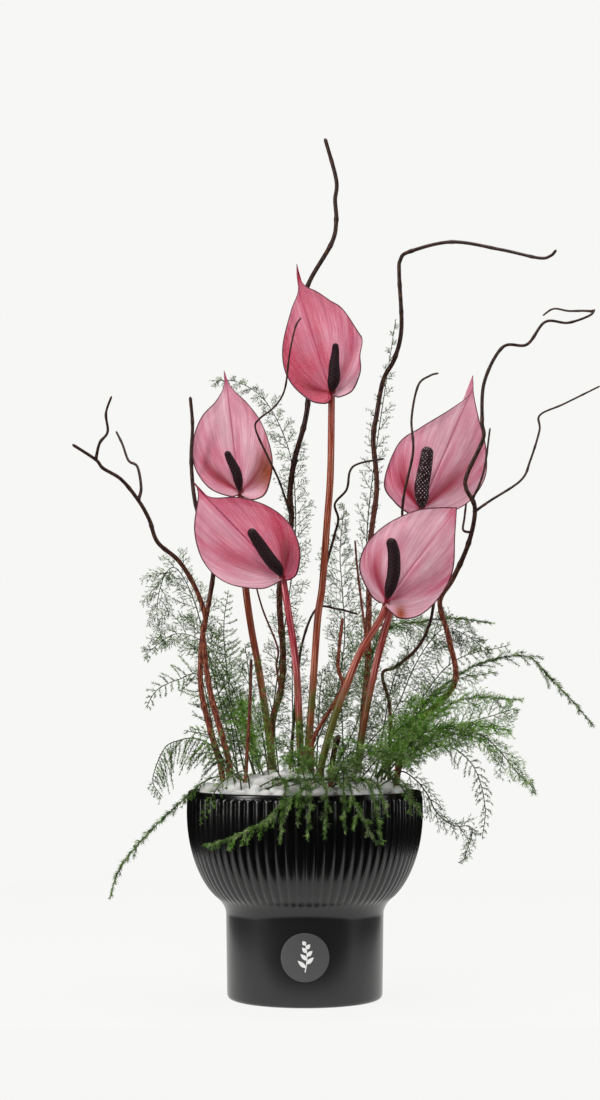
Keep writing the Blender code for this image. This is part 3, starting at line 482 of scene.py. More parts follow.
# --- Numbers into meshes --------------------------------------------------------------
class Bundle:
    """Surfaces gathered into one mesh: their points, quads, triangles and attributes."""

    def __init__(self):
        self.points = []
        self.quads = []
        self.triangles = []
        self.quad_uvs = []
        self.triangle_uvs = []
        self.values = {}
        self.count = 0

    def add(self, points, quads, triangles, quad_uvs, triangle_uvs, **values):
        """Add one surface; each value is a number per point."""
        self.quads.append(quads + self.count)
        self.triangles.append(triangles + self.count)
        self.points.append(points)
        self.quad_uvs.append(quad_uvs)
        self.triangle_uvs.append(triangle_uvs)
        for name, value in values.items():
            whole = np.broadcast_to(value, (len(points),))
            self.values.setdefault(name, []).append(whole)
        self.count += len(points)

    def build(self, name, material):
        """Make the mesh and its object, smooth shaded, at the origin."""
        points = np.concatenate(self.points)
        quads = np.concatenate(self.quads)
        triangles = np.concatenate(self.triangles)
        mesh = bpy.data.meshes.new(name)
        mesh.vertices.add(len(points))
        mesh.vertices.foreach_set("co", points.astype(np.float32).ravel())
        corners = np.concatenate((quads.ravel(), triangles.ravel())).astype(np.int32)
        sizes = np.concatenate((np.full(len(quads), 4), np.full(len(triangles), 3)))
        starts = np.concatenate(((0,), np.cumsum(sizes)[:-1]))
        mesh.loops.add(len(corners))
        mesh.loops.foreach_set("vertex_index", corners)
        mesh.polygons.add(len(sizes))
        mesh.polygons.foreach_set("loop_start", starts.astype(np.int32))
        mesh.update(calc_edges=True)
        layer = mesh.uv_layers.new(name="UVMap")
        uvs = np.concatenate((np.concatenate(self.quad_uvs).reshape(-1, 2),
                              np.concatenate(self.triangle_uvs).reshape(-1, 2)))
        layer.data.foreach_set("uv", uvs.astype(np.float32).ravel())
        for label, parts in self.values.items():
            attribute = mesh.attributes.new(label, 'FLOAT', 'POINT')
            attribute.data.foreach_set("value", np.concatenate(parts).astype(np.float32))
        mesh.polygons.foreach_set("use_smooth", np.ones(len(sizes), dtype=bool))
        mesh.validate()
        mesh.materials.append(material)
        piece = bpy.data.objects.new(name, mesh)
        bpy.context.scene.collection.objects.link(piece)
        return piece


def grid_faces(rows, columns, wrap):
    """Quads of a grid of points and their UVs: U runs across columns, V down rows.

    With wrap, the last column joins the first.
    """
    across = columns if wrap else columns - 1
    row, column = np.meshgrid(np.arange(rows - 1), np.arange(across), indexing="ij")
    after = (column + 1) % columns
    quads = np.stack((row * columns + column, row * columns + after,
                      (row + 1) * columns + after, (row + 1) * columns + column), axis=-1)
    left, right = column / across, (column + 1) / across
    low, high = row / (rows - 1), (row + 1) / (rows - 1)
    uvs = np.stack((np.stack((left, low), -1), np.stack((right, low), -1),
                    np.stack((right, high), -1), np.stack((left, high), -1)), axis=-2)
    return quads.reshape(-1, 4), uvs.reshape(-1, 4, 2)


def add_closed(bundle, grids, stretch=1.0, **values):
    """Add closed surfaces, each a stack of rings with a pole past its first and last ring.

    Grids is (surfaces, rings, sides, 3) and each pole is its ring's middle.  Stretch
    scales V, and each value is a number or an array that spreads over the grids.
    """
    many, rings, sides = grids.shape[:3]
    quads, quad_uvs = grid_faces(rings, sides, True)
    poles = grids[:, (0, -1)].mean(axis=2)
    points = np.concatenate((grids.reshape(many, -1, 3), poles), axis=1).reshape(-1, 3)
    step = np.arange(sides)
    after = (step + 1) % sides
    first, top = rings * sides, (rings - 1) * sides
    triangles = np.concatenate((
        np.stack((np.full(sides, first), after, step), axis=-1),
        np.stack((np.full(sides, first + 1), top + step, top + after), axis=-1)))
    left, right = step / sides, (step + 1) / sides
    triangle_uvs = np.zeros((2 * sides, 3, 2))
    triangle_uvs[:sides, :, 0] = np.stack((left, right, left), axis=-1)
    triangle_uvs[sides:, :, 0] = np.stack((left, left, right), axis=-1)
    triangle_uvs[sides:, :, 1] = 1.0
    shift = np.arange(many)[:, None, None] * (first + 2)
    whole = {}
    for name, value in values.items():
        spread = np.broadcast_to(value, (many, rings, sides))
        ends = spread[:, (0, -1)].mean(axis=2)
        whole[name] = np.concatenate((spread.reshape(many, -1), ends), axis=1).ravel()
    scale = np.array((1.0, stretch))
    bundle.add(points, (quads + shift).reshape(-1, 4), (triangles + shift).reshape(-1, 3),
               np.tile(quad_uvs * scale, (many, 1, 1)),
               np.tile(triangle_uvs * scale, (many, 1, 1)), **whole)


def smooth_route(knots, count, extra=None):
    """Points evenly spaced on the Catmull-Rom curve through knots given in millimetres.

    Extra is a number per knot, such as a radius, carried along the same curve.
    """
    knots = np.array(knots, float)
    padded = np.concatenate((2 * knots[:1] - knots[1:2], knots, 2 * knots[-1:] - knots[-2:-1]))
    share = np.linspace(0, 1, 25)[:-1, None, None]
    a, b, c, d = padded[:-3], padded[1:-2], padded[2:-1], padded[3:]
    curve = 0.5 * (2 * b + (c - a) * share + (2 * a - 5 * b + 4 * c - d) * share ** 2
                   + (3 * b - a - 3 * c + d) * share ** 3)
    fine = np.concatenate((curve.transpose(1, 0, 2).reshape(-1, knots.shape[1]), knots[-1:]))
    lengths = np.concatenate(((0,), np.cumsum(np.linalg.norm(np.diff(fine, axis=0), axis=1))))
    even = np.linspace(0, lengths[-1], count)
    route = np.stack([np.interp(even, lengths, fine[:, axis])
                      for axis in range(knots.shape[1])], axis=-1)
    if extra is None:
        return route * MM
    places = np.linspace(0, len(knots) - 1, len(fine))
    carried = np.interp(places, np.arange(len(knots)), extra)
    return route * MM, np.interp(even, lengths, carried)


def ring_grid(routes, radii, sides, relief=0.0):
    """Rings of points round routes: centre + radius * (side * cos + other * sin).

    Routes is (..., rings, 3).  The side vector is square to the route and to a line
    close to the view, so the rings don't twist.  Relief is added to the radius.
    """
    heading = np.gradient(routes, axis=-2)
    heading /= np.linalg.norm(heading, axis=-1, keepdims=True)
    side = np.cross(heading, VIEW + np.array((0.05, 0.0, 0.08)))
    side /= np.linalg.norm(side, axis=-1, keepdims=True)
    other = np.cross(heading, side)
    turn = np.arange(sides) / sides * TAU
    reach = (np.broadcast_to(radii, routes.shape[:-1])[..., None] + relief)[..., None]
    spoke = (side[..., None, :] * np.cos(turn)[:, None]
             + other[..., None, :] * np.sin(turn)[:, None])
    return routes[..., None, :] + spoke * reach


def dome_ends(route, radii, start=True, end=True):
    """Round off a tube's ends by shrinking the radii of its last few rings."""
    radii = radii.copy()
    distance = np.concatenate(((0,), np.cumsum(np.linalg.norm(np.diff(route, axis=0), axis=1))))
    for wanted, gone, size in ((start, distance, radii[0]),
                               (end, distance[-1] - distance, radii[-1])):
        if wanted:
            share = np.clip(gone / size, 0.03, 1.0)
            radii *= np.sqrt(1 - (1 - share) ** 2)
    return radii


def smooth_step(value, low, high):
    """0 below low, 1 above high and an even rise between."""
    share = np.clip((value - low) / (high - low), 0.0, 1.0)
    return share * share * (3 - 2 * share)


def wobble(count, seed, waves):
    """A smooth, repeatable, uneven line: a few sine waves with seeded phases."""
    chance = np.random.default_rng(seed)
    place = np.linspace(0, 1, count)
    line = np.zeros(count)
    for wave in waves:
        line += chance.uniform(0.4, 1.0) * np.sin(TAU * (wave * place + chance.uniform()))
    return line / len(waves)


# --- Materials ------------------------------------------------------------------------
def linear(code):
    """A hex sRGB colour as linear RGBA."""
    parts = [int(code[place:place + 2], 16) / 255 for place in (1, 3, 5)]
    return (*[part / 12.92 if part <= 0.04045 else ((part + 0.055) / 1.055) ** 2.4
              for part in parts], 1.0)


def rgba(colour):
    """A hex code, or linear RGB such as a setting's, as linear RGBA."""
    return linear(colour) if isinstance(colour, str) else (*colour[:3], 1.0)


def shades(places, colour, deep, share, towards="#FFFFFF"):
    """A ramp's three stops: a colour darkened, as it is, and drawn towards another."""
    base = np.array(rgba(colour)[:3])
    light = base + (np.array(linear(towards)[:3]) - base) * share
    return tuple(zip(places, (base * deep, base, light)))


def per(size):
    """A noise's scale, from the size in millimetres of the grains that it draws."""
    return 1 / (size * MM)


def add(tree, kind, inputs=None, out=0, stops=(), **settings):
    """Add a node with its settings and links, and return one of its outputs.

    An input is a value, a colour or the socket it links from.  Stops are a colour ramp's.
    """
    node = tree.nodes.new(kind)
    for name, value in settings.items():
        setattr(node, name, value)
    for name, value in (inputs or {}).items():
        if isinstance(value, bpy.types.NodeSocket):
            tree.links.new(value, node.inputs[name])
        elif isinstance(value, (str, Color)):
            node.inputs[name].default_value = rgba(value)
        else:
            node.inputs[name].default_value = value
    for place, _ in stops[1:-1]:
        node.color_ramp.elements.new(place)
    for number, (place, colour) in enumerate(stops):
        node.color_ramp.elements[number].position = place
        node.color_ramp.elements[number].color = rgba(colour)
    return node.outputs[out] if node.outputs else node


def new_material(name):
    """An empty node material and its tree."""
    material = bpy.data.materials.new(name)
    material.use_nodes = True
    material.node_tree.nodes.clear()
    return material, material.node_tree


def finish(material, inputs, height=None, strength=0.0, distance=0.0):
    """Put the shader on a material, with a bump where a height is given.

    Distance is how far, in metres, the highest grain stands above the lowest.
    """
    tree = material.node_tree
    if height is not None:
        inputs["Normal"] = add(tree, "ShaderNodeBump", {
            "Height": height, "Strength": strength, "Distance": distance})
    surface = add(tree, "ShaderNodeBsdfPrincipled", inputs)
    add(tree, "ShaderNodeOutputMaterial", {"Surface": surface})
    return material


def satin_glaze(colours):
    """Stoneware dipped in black glaze and fired satin: deep black, softly mirrored."""
    material, tree = new_material("black satin glaze")
    place = add(tree, "ShaderNodeTexCoord", out="Object")
    cloud = add(tree, "ShaderNodeTexNoise", {"Vector": place, "Scale": per(16.67),
                                             "Detail": 3.0})
    speck = add(tree, "ShaderNodeTexNoise", {"Vector": place, "Scale": per(1.111),
                                             "Detail": 2.0})
    height = add(tree, "ShaderNodeSeparateXYZ", {0: place}, "Z")
    foot = add(tree, "ShaderNodeMapRange", {"Value": height, "From Min": GLAZE_TURNS[0],
                                            "From Max": GLAZE_TURNS[1]})
    bowl = add(tree, "ShaderNodeMix", {"Factor": cloud, A: "#050506", B: colours.glaze},
               MIXED, data_type='RGBA')
    colour = add(tree, "ShaderNodeMix", {"Factor": foot, A: bowl, B: colours.foot_glaze},
                 MIXED, data_type='RGBA')
    rough = add(tree, "ShaderNodeMapRange", {"Value": cloud, "To Min": 0.20, "To Max": 0.26})
    inputs = {
        "Base Color": colour, "Roughness": rough, "IOR": 1.55}
    return finish(material, inputs, speck, 0.06, 0.0002)


def grained(name, size, detail, dark, light, rough, depth=None, ior=1.5):
    """A material whose fine grains, of a size in millimetres, run between two colours.

    Depth is the strength and the distance in metres of their bump, if they have one.
    """
    material, tree = new_material(name)
    place = add(tree, "ShaderNodeTexCoord", out="Object")
    grain = add(tree, "ShaderNodeTexNoise", {"Vector": place, "Scale": per(size),
                                             "Detail": detail})
    colour = add(tree, "ShaderNodeMix", {"Factor": grain, A: dark, B: light}, MIXED,
                 data_type='RGBA')
    inputs = {"Base Color": colour, "Roughness": rough, "IOR": ior}
    return finish(material, inputs, *((grain, *depth) if depth else ()))


def label_film(colours):
    """Cast grey vinyl film, matt varnished: an even grey with a faint fine tooth."""
    return grained("grey vinyl film", 0.4, 1.0, "#4A4A4C", colours.label, 0.5,
                   (0.1, 0.0001), 1.45)


def white_ink(colours):
    """White ink screen-printed on the film: flat, chalky and nearly even."""
    return grained("white screen ink", 0.3333, 1.0, "#E9E9E8", colours.mark, 0.6)


def floral_foam(colours):
    """Phenolic floral foam, blown and cut: dull green with fine open cells."""
    return grained("phenolic floral foam", 0.8333, 2.0, "#2C4A2A", colours.foam, 0.95,
                   (0.6, 0.0004))


def tumbled_marble(colours):
    """Tumbled white marble: smooth, faintly clouded, some stones greyer than others."""
    material, tree = new_material("tumbled white marble")
    place = add(tree, "ShaderNodeTexCoord", out="Object")
    tone = add(tree, "ShaderNodeAttribute", out="Fac", attribute_name="tone")
    cloud = add(tree, "ShaderNodeTexNoise", {"Vector": place, "Scale": per(7.692),
                                             "Detail": 4.0, "Roughness": 0.6})
    grain = add(tree, "ShaderNodeTexNoise", {"Vector": place, "Scale": per(0.6667),
                                             "Detail": 2.0})
    pale = add(tree, "ShaderNodeMix", {"Factor": cloud, A: "#C4C4C2", B: colours.pebbles},
               MIXED, data_type='RGBA')
    colour = add(tree, "ShaderNodeMix", {"Factor": tone, A: pale, B: "#B9B8B4"},
                 MIXED, data_type='RGBA')
    inputs = {
        "Base Color": colour, "Roughness": 0.38, "IOR": 1.5, "Subsurface Weight": 0.15,
        "Subsurface Scale": 0.004}
    return finish(material, inputs, grain, 0.12, 0.0002)


def flower_stem(colours):
    """Anthurium stem: smooth skin, orange to crimson, streaked pale, olive near its foot.

    U runs round the stem, about 19 mm, and V is 1 for each 100 mm, so a streak is
    0.7 mm wide and 33 mm long.
    """
    material, tree = new_material("anthurium stem skin")
    flat = add(tree, "ShaderNodeUVMap")
    place = add(tree, "ShaderNodeTexCoord", out="Object")
    drawn = add(tree, "ShaderNodeMapping", {"Vector": flat, "Scale": (26.0, 3.0, 1.0)})
    streak = add(tree, "ShaderNodeTexNoise", {"Vector": drawn, "Scale": 1.0, "Detail": 4.0,
                                              "Roughness": 0.6})
    patch = add(tree, "ShaderNodeTexNoise", {"Vector": place, "Scale": per(29.41),
                                             "Detail": 3.0})
    flush = add(tree, "ShaderNodeAttribute", out="Fac", attribute_name="flush")
    foot = add(tree, "ShaderNodeAttribute", out="Fac", attribute_name="foot")
    places = (0.32, 0.5, 0.68)
    brown = add(tree, "ShaderNodeValToRGB", {"Fac": streak},
                stops=shades(places, colours.stem_brown, 0.13, 0.45, "#FFC8A0"))
    red = add(tree, "ShaderNodeValToRGB", {"Fac": streak},
              stops=shades(places, colours.stem_red, 0.2, 0.78, "#FFB0B4"))
    olive = add(tree, "ShaderNodeMath", {0: foot, 1: patch, 2: -0.25},
                operation='MULTIPLY_ADD', use_clamp=True)
    olive = add(tree, "ShaderNodeMath", {0: olive, 1: 3.2}, operation='MULTIPLY',
                use_clamp=True)
    skin = add(tree, "ShaderNodeMix", {"Factor": flush, A: brown, B: red}, MIXED,
               data_type='RGBA')
    colour = add(tree, "ShaderNodeMix", {"Factor": olive, A: skin, B: "#5A5A24"}, MIXED,
                 data_type='RGBA')
    inputs = {
        "Base Color": colour, "Roughness": 0.32, "IOR": 1.45, "Subsurface Weight": 0.05,
        "Subsurface Scale": 0.002}
    return finish(material, inputs, streak, 0.25, 0.0003)


def waxy_spathe(colours):
    """Anthurium blade: waxy pink skin, veined and flushed, with a thin dark margin.

    U turns once round the junction and V runs from it to the margin, so half way out
    the fine veins are 2.6 mm apart and fade over 38 mm; a real one's are half as wide,
    too fine to show.  The fold and the extra crimson along each crease are painted shade
    in the valleys beside the spike.
    """
    material, tree = new_material("waxy anthurium spathe")
    flat = add(tree, "ShaderNodeUVMap")
    place = add(tree, "ShaderNodeTexCoord", out="Object")
    drawn = add(tree, "ShaderNodeMapping", {"Vector": flat, "Scale": (120.0, 2.6, 1.0)})
    fine = add(tree, "ShaderNodeTexNoise", {"Vector": drawn, "Scale": 1.0, "Detail": 5.0,
                                            "Roughness": 0.62})
    drawn = add(tree, "ShaderNodeMapping", {"Vector": flat, "Scale": (16.0, 1.3, 1.0)})
    broad = add(tree, "ShaderNodeTexNoise", {"Vector": drawn, "Scale": 1.0, "Detail": 3.0})
    mottle = add(tree, "ShaderNodeTexNoise", {"Vector": place, "Scale": per(1.111),
                                              "Detail": 3.0, "Roughness": 0.7})
    cloud = add(tree, "ShaderNodeTexNoise", {"Vector": place, "Scale": per(20.83),
                                             "Detail": 3.0, "Roughness": 0.6})
    vein, flush, fold, rim, stain = [
        add(tree, "ShaderNodeAttribute", out="Fac", attribute_name=name)
        for name in ("vein", "flush", "fold", "rim", "stain")]
    places = (0.2, 0.5, 0.84)
    pale, rose, crimson = [
        add(tree, "ShaderNodeValToRGB", {"Fac": fine}, stops=shades(places, *stops))
        for stops in ((colours.blade_pale, 0.66, 0.48), (colours.blade_rose, 0.58, 0.30),
                      (colours.blade_crimson, 0.5, 0.18))]
    amount = add(tree, "ShaderNodeMath", {0: broad, 1: 0.5}, operation='SUBTRACT')
    amount = add(tree, "ShaderNodeMath", {0: amount, 1: 1.7, 2: flush},
                 operation='MULTIPLY_ADD', use_clamp=True)
    low = add(tree, "ShaderNodeMapRange", {"Value": amount, "From Max": 0.55})
    high = add(tree, "ShaderNodeMapRange", {"Value": amount, "From Min": 0.55})
    dots = add(tree, "ShaderNodeMapRange", {"Value": mottle, "From Min": 0.35,
                                            "From Max": 0.7, "To Max": 0.14})
    haze = add(tree, "ShaderNodeMapRange", {"Value": cloud, "From Min": 0.45,
                                            "From Max": 0.72, "To Max": 0.28})
    veined = add(tree, "ShaderNodeMath", {0: vein, 1: 0.7}, operation='MULTIPLY')
    colour = pale
    # The fold colour is painted shade in the creases beside the spike.
    for share, over in ((low, rose), (high, crimson), (dots, "#E8C6CC"), (haze, "#A9758C"),
                        (veined, "#A5325A"), (fold, "#8A0222"), (stain, "#9A4420"),
                        (rim, "#4A0C1E")):
        colour = add(tree, "ShaderNodeMix", {"Factor": share, A: colour, B: over}, MIXED,
                     data_type='RGBA')
    inputs = {
        "Base Color": colour, "Roughness": 0.42, "IOR": 1.36, "Subsurface Weight": 0.06,
        "Subsurface Scale": 0.0015}
    return finish(material, inputs, fine, 0.35, 0.0004)


def beaded_spadix(colours):
    """Anthurium spike: near-black maroon florets, some with a pale point, matt."""
    material, tree = new_material("beaded maroon spadix")
    place = add(tree, "ShaderNodeTexCoord", out="Object")
    bead, neck = [add(tree, "ShaderNodeAttribute", out="Fac", attribute_name=name)
                  for name in ("bead", "neck")]
    speck = add(tree, "ShaderNodeTexNoise", {"Vector": place, "Scale": per(0.5556),
                                             "Detail": 2.0})
    chosen = add(tree, "ShaderNodeTexNoise", {"Vector": place, "Scale": per(2.381),
                                              "Detail": 3.0})
    chosen = add(tree, "ShaderNodeMapRange", {"Value": chosen, "From Min": 0.42,
                                              "From Max": 0.56})
    tip = add(tree, "ShaderNodeMath", {0: bead, 1: 10.0}, operation='POWER')
    lit = add(tree, "ShaderNodeMath", {0: tip, 1: chosen}, operation='MULTIPLY')
    colour = "#17040B"
    for share, over in ((speck, colours.spadix), (lit, "#F0D2D8"), (neck, "#8E1A30")):
        colour = add(tree, "ShaderNodeMix", {"Factor": share, A: colour, B: over}, MIXED,
                     data_type='RGBA')
    return finish(material, {
        "Base Color": colour, "Roughness": 0.55, "Specular IOR Level": 0.3})


def willow_bark(colours):
    """Curly willow: thin bark, dark brown on the old wood and red on the fresh shoots.

    U runs round the branch, about 18 mm, and V is 1 for each 100 mm, so a streak is
    1.4 mm wide and 4.5 mm long.
    """
    material, tree = new_material("curly willow bark")
    flat = add(tree, "ShaderNodeUVMap")
    place = add(tree, "ShaderNodeTexCoord", out="Object")
    redness = add(tree, "ShaderNodeAttribute", out="Fac", attribute_name="redness")
    drawn = add(tree, "ShaderNodeMapping", {"Vector": flat, "Scale": (13.0, 22.0, 1.0)})
    streak = add(tree, "ShaderNodeTexNoise", {"Vector": drawn, "Scale": 1.0, "Detail": 4.0,
                                              "Roughness": 0.65})
    patch = add(tree, "ShaderNodeTexNoise", {"Vector": place, "Scale": per(11.11),
                                             "Detail": 4.0, "Roughness": 0.6})
    places = (0.3, 0.5, 0.71)
    dark = add(tree, "ShaderNodeValToRGB", {"Fac": streak},
               stops=shades(places, colours.bark_dark, 0.18, 0.35, "#C07848"))
    red = add(tree, "ShaderNodeValToRGB", {"Fac": streak},
              stops=shades(places, colours.bark_red, 0.15, 0.6, "#E89860"))
    worn = add(tree, "ShaderNodeMapRange", {"Value": patch, "From Min": 0.55,
                                            "From Max": 0.8, "To Max": 0.45})
    colour = dark
    for share, over in ((redness, red), (worn, "#6B5040")):
        colour = add(tree, "ShaderNodeMix", {"Factor": share, A: colour, B: over}, MIXED,
                     data_type='RGBA')
    inputs = {
        "Base Color": colour, "Roughness": 0.48, "IOR": 1.45}
    return finish(material, inputs, patch, 0.5, 0.0006)


def fern_foliage(colours):
    """Asparagus fern: matt needles, from painted-shade dark grey-green to fresh green, on wiry
    stems.
    """
    material, tree = new_material("asparagus fern foliage")
    place = add(tree, "ShaderNodeTexCoord", out="Object")
    bright, woody = [add(tree, "ShaderNodeAttribute", out="Fac", attribute_name=name)
                     for name in ("bright", "woody")]
    patch = add(tree, "ShaderNodeTexNoise", {"Vector": place, "Scale": per(6.25),
                                             "Detail": 3.0, "Roughness": 0.6})
    places = (0.3, 0.5, 0.72)
    dark = add(tree, "ShaderNodeValToRGB", {"Fac": patch},
               stops=shades(places, colours.fern_dark, 0.16, 0.48, "#D2DCB8"))
    fresh = add(tree, "ShaderNodeValToRGB", {"Fac": patch},
                stops=shades(places, colours.fern_fresh, 0.16, 0.70, "#E4F6A8"))
    colour = dark
    # Bright draws the needles from the painted-shade green to the fresh green.
    for share, over in ((bright, fresh), (woody, "#2E2C1E")):
        colour = add(tree, "ShaderNodeMix", {"Factor": share, A: colour, B: over}, MIXED,
                     data_type='RGBA')
    return finish(material, {
        "Base Color": colour, "Roughness": 0.62, "IOR": 1.4})


def lit_acrylic(colours):
    """Frosted acrylic table lit from below: an even pale field, hardly shadowed."""
    material = new_material("lit frosted acrylic")[0]
    return finish(material, {
        "Base Color": "#3C3C3C", "Roughness": 1.0, "Specular IOR Level": 0.0,
        "Emission Color": colours.backdrop, "Emission Strength": 0.955})


# --- Shared shapes --------------------------------------------------------------------
def rooted(route, depth):
    """Carry a route in metres on down to a depth, leaning at most a little off plumb."""
    slope = route[0] - route[1]
    lean = np.array((slope[0], slope[1], 0.0)) / max(-slope[2], np.linalg.norm(slope) * 0.3)
    lean *= min(1.0, ROOT_LEAN / max(np.linalg.norm(lean), 1e-6))
    drop = route[0][2] - depth
    return np.concatenate(((route[0] + lean * drop - UP * drop,), route))


def branch_route(knots, depth, step):
    """A smooth route through millimetre knots, carried down to a depth, even steps long."""
    whole = rooted(np.array(knots, float) * MM, depth) / MM
    length = np.linalg.norm(np.diff(whole, axis=0), axis=1).sum() * MM
    return smooth_route(whole, int(length / step)), length


def along(route):
    """Share of a route's length at each of its points."""
    lengths = np.concatenate(((0,), np.cumsum(np.linalg.norm(np.diff(route, axis=0), axis=1))))
    return lengths / lengths[-1]


def own(piece, slot, *nodes):
    """Hang a piece on the root body and hide the CAD nodes that it stands for; the slot is not
    used.
    """
    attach(piece, "root")
    if nodes:
        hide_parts(*nodes)


# --- Vase -----------------------------------------------------------------------------
def arc(count, start, end):
    """Evenly spaced angles in radians."""
    return np.radians(np.linspace(start, end, count))


def foot_radius(height):
    """Outer radius of the foot, which narrows slightly towards the floor."""
    return FOOT_BOTTOM + (FOOT_TOP - FOOT_BOTTOM) * height / FOOT_HEIGHT


def bowl_point(angle, inset=0.0):
    """A point on the bowl's quarter ellipse: core + reach * cos, centre - drop * sin."""
    radius = BOWL_CORE + BOWL_REACH * np.cos(angle) - inset
    return radius, BOWL_CENTRE - BOWL_DROP * np.sin(angle)


def vase_profile():
    """The vase's section: underside, foot, fillet, bowl, rim and back down the inside.

    Returns radius and height for each row, and how many of the rows are outside.
    """
    turn = arc(6, 12, 90)
    low = FOOT_BOTTOM - FOOT_UNDERCUT
    rows = [(np.linspace(0.012, low, 4), np.zeros(4))]
    rows += [(low + FOOT_UNDERCUT * np.sin(turn), FOOT_EDGE * (1 - np.cos(turn)))]
    heights = np.linspace(FOOT_EDGE + 0.004, FILLET_LOW, 9)
    rows += [(foot_radius(heights), heights)]
    share = np.linspace(0, 1, 10)[1:-1]
    end_radius, end_height = bowl_point(FILLET_ANGLE)
    corner = foot_radius(FILLET_LOW)
    rows += [((1 - share) ** 2 * corner + 2 * share * (1 - share) * corner
              + share ** 2 * end_radius,
              (1 - share) ** 2 * FILLET_LOW + 2 * share * (1 - share) * FILLET_CORNER
              + share ** 2 * end_height)]
    rows += [bowl_point(np.linspace(FILLET_ANGLE, 0, 46))]
    heights = np.concatenate((np.linspace(BOWL_CENTRE + 0.003, REED_TOP - 0.003, 4),
                              np.linspace(REED_TOP - 0.0025, REED_TOP, 9),
                              np.linspace(REED_TOP + 0.0007, VASE_HEIGHT - RIM_ROUND, 3)))
    top = (heights - BOWL_CENTRE) / (VASE_HEIGHT - BOWL_CENTRE)
    full = BOWL_CORE + BOWL_REACH
    rows += [(full + (RIM_RADIUS - full) * top, heights)]
    outside = sum(len(radii) for radii, _ in rows)
    turn = arc(5, 15, 90)
    rows += [(RIM_RADIUS - RIM_ROUND * (1 - np.cos(turn)),
              VASE_HEIGHT - RIM_ROUND * (1 - np.sin(turn)))]
    inner = RIM_RADIUS - WALL
    rows += [(inner + RIM_ROUND * (1 - np.sin(turn)),
              VASE_HEIGHT - RIM_ROUND * (1 - np.cos(turn)))]
    rows += [bowl_point(np.linspace(0, FILLET_ANGLE, 12), WALL)]
    rows += [(np.array((CAVITY_RADIUS, CAVITY_RADIUS, CAVITY_RADIUS - 0.003, 0.02)),
              np.array((FOOT_HEIGHT, CAVITY_FLOOR + 0.003, CAVITY_FLOOR, CAVITY_FLOOR)))]
    return np.concatenate([r for r, _ in rows]), np.concatenate([h for _, h in rows]), outside


def make_vase(reeds, depth, paint):
    """The vase turned about Z, with convex reeds standing proud of a plain band.

    A reed's section falls from its crest by depth * |u| ** REED_POWER, where u runs from
    -1 to 1 across it.  The reeds end in rounded noses under the rim and above the foot.
    """
    radii, heights, outside = vase_profile()
    columns = reeds * COLUMNS_PER_REED
    turn = np.arange(columns) / columns * TAU
    across = np.abs(2 * ((turn / TAU * reeds) % 1.0) - 1) ** REED_POWER
    nose = np.clip((REED_TOP - heights) / REED_NOSE, 0, 1)
    show = np.sqrt(1 - (1 - nose) ** 2)
    show = show * smooth_step(heights, REED_FOOT - 0.003, REED_FOOT + 0.004)
    show[outside:] = 0.0
    band = BAND_SHARE * smooth_step(heights, REED_FOOT - 0.005, REED_FOOT + 0.003)
    depths = depth * radii / RIM_RADIUS
    flat = depths * band * (1 - show)
    cut = flat[:, None] + (depths * show)[:, None] * across[None, :]
    cut[outside + 10:] = 0.0
    reach = radii[:, None] - cut
    grid = np.stack((reach * np.cos(turn), reach * np.sin(turn),
                     np.broadcast_to(heights[:, None], reach.shape)), axis=-1)
    bundle = Bundle()
    add_closed(bundle, grid[None])
    piece = bundle.build("vase_reeded", paint)
    own(piece, "glaze", "vase")


# --- Label ----------------------------------------------------------------------------
def on_foot(right, up, proud):
    """A place on the foot's front: right and up of the label's middle, proud of the wall."""
    height = LABEL_HEIGHT + up
    reach = foot_radius(height) + proud
    return np.stack((right, -np.sqrt(reach ** 2 - right ** 2), height), axis=-1)


def make_label(paint):
    """A thin film disc bent round the foot, with rounded edges."""
    rings = np.array((0.1, 0.3, 0.5, 0.7, 0.85, 0.94, 0.98, 1.0, 1.0, 0.98, 0.6, 0.2))
    proud = np.array((1.0, 1.0, 1.0, 1.0, 1.0, 1.0, 0.97, 0.85, 0.55, 0.42, 0.4, 0.4)) * MM
    turn = np.arange(96) / 96 * TAU
    reach = LABEL_RADIUS * rings[:, None]
    grid = on_foot(reach * np.sin(turn), reach * np.cos(turn), proud[:, None])
    bundle = Bundle()
    add_closed(bundle, grid[None])
    own(bundle.build("label_disc", paint), "label_film", "round_label")


def make_label_print(paint):
    """A plain leafy sprig, raised a hair above the film.

    Each stroke is a flattened tube: its route and its ring of points are both laid on
    the foot's surface.
    """
    bundle = Bundle()
    share = np.linspace(0, 1, 25)
    strokes = [(0.0016 * np.sin(3 * share), 0.0235 * share - 0.0120,
                0.00045 * (1 - 0.5 * share))]
    for number in range(7):
        side = 1 if number % 2 else -1
        base = 0.16 + 0.13 * number
        size = 0.0088 * (1 - 0.09 * number)
        root = (0.0016 * math.sin(3 * base), 0.0235 * base - 0.0120)
        angle = math.radians(50 - 2 * number) * side
        width = 0.0017 * np.sin(math.pi * share ** 0.8) + 0.00005
        strokes += [(root[0] + size * share * math.sin(angle),
                     root[1] + size * share * math.cos(angle), width)]
    for right, up, width in strokes:
        heading = np.stack((np.gradient(right), np.gradient(up)), axis=-1)
        heading /= np.linalg.norm(heading, axis=1, keepdims=True)
        spoke = np.arange(8) / 8 * TAU
        off = np.cos(spoke) * width[:, None]
        flat_right = right[:, None] + heading[:, 1:] * off
        flat_up = up[:, None] - heading[:, :1] * off
        grid = on_foot(flat_right, flat_up, PRINT_PROUD + 0.00006 * np.sin(spoke))
        add_closed(bundle, grid[None])
    own(bundle.build("label_print", paint), "label_film")


# --- Pebbles and foam -----------------------------------------------------------------
def mound_height(radius):
    """Height of the pebbles' even crown at a distance from the axis."""
    return BED_EDGE + BED_CROWN * (1 - (radius / BED_RADIUS) ** 2)


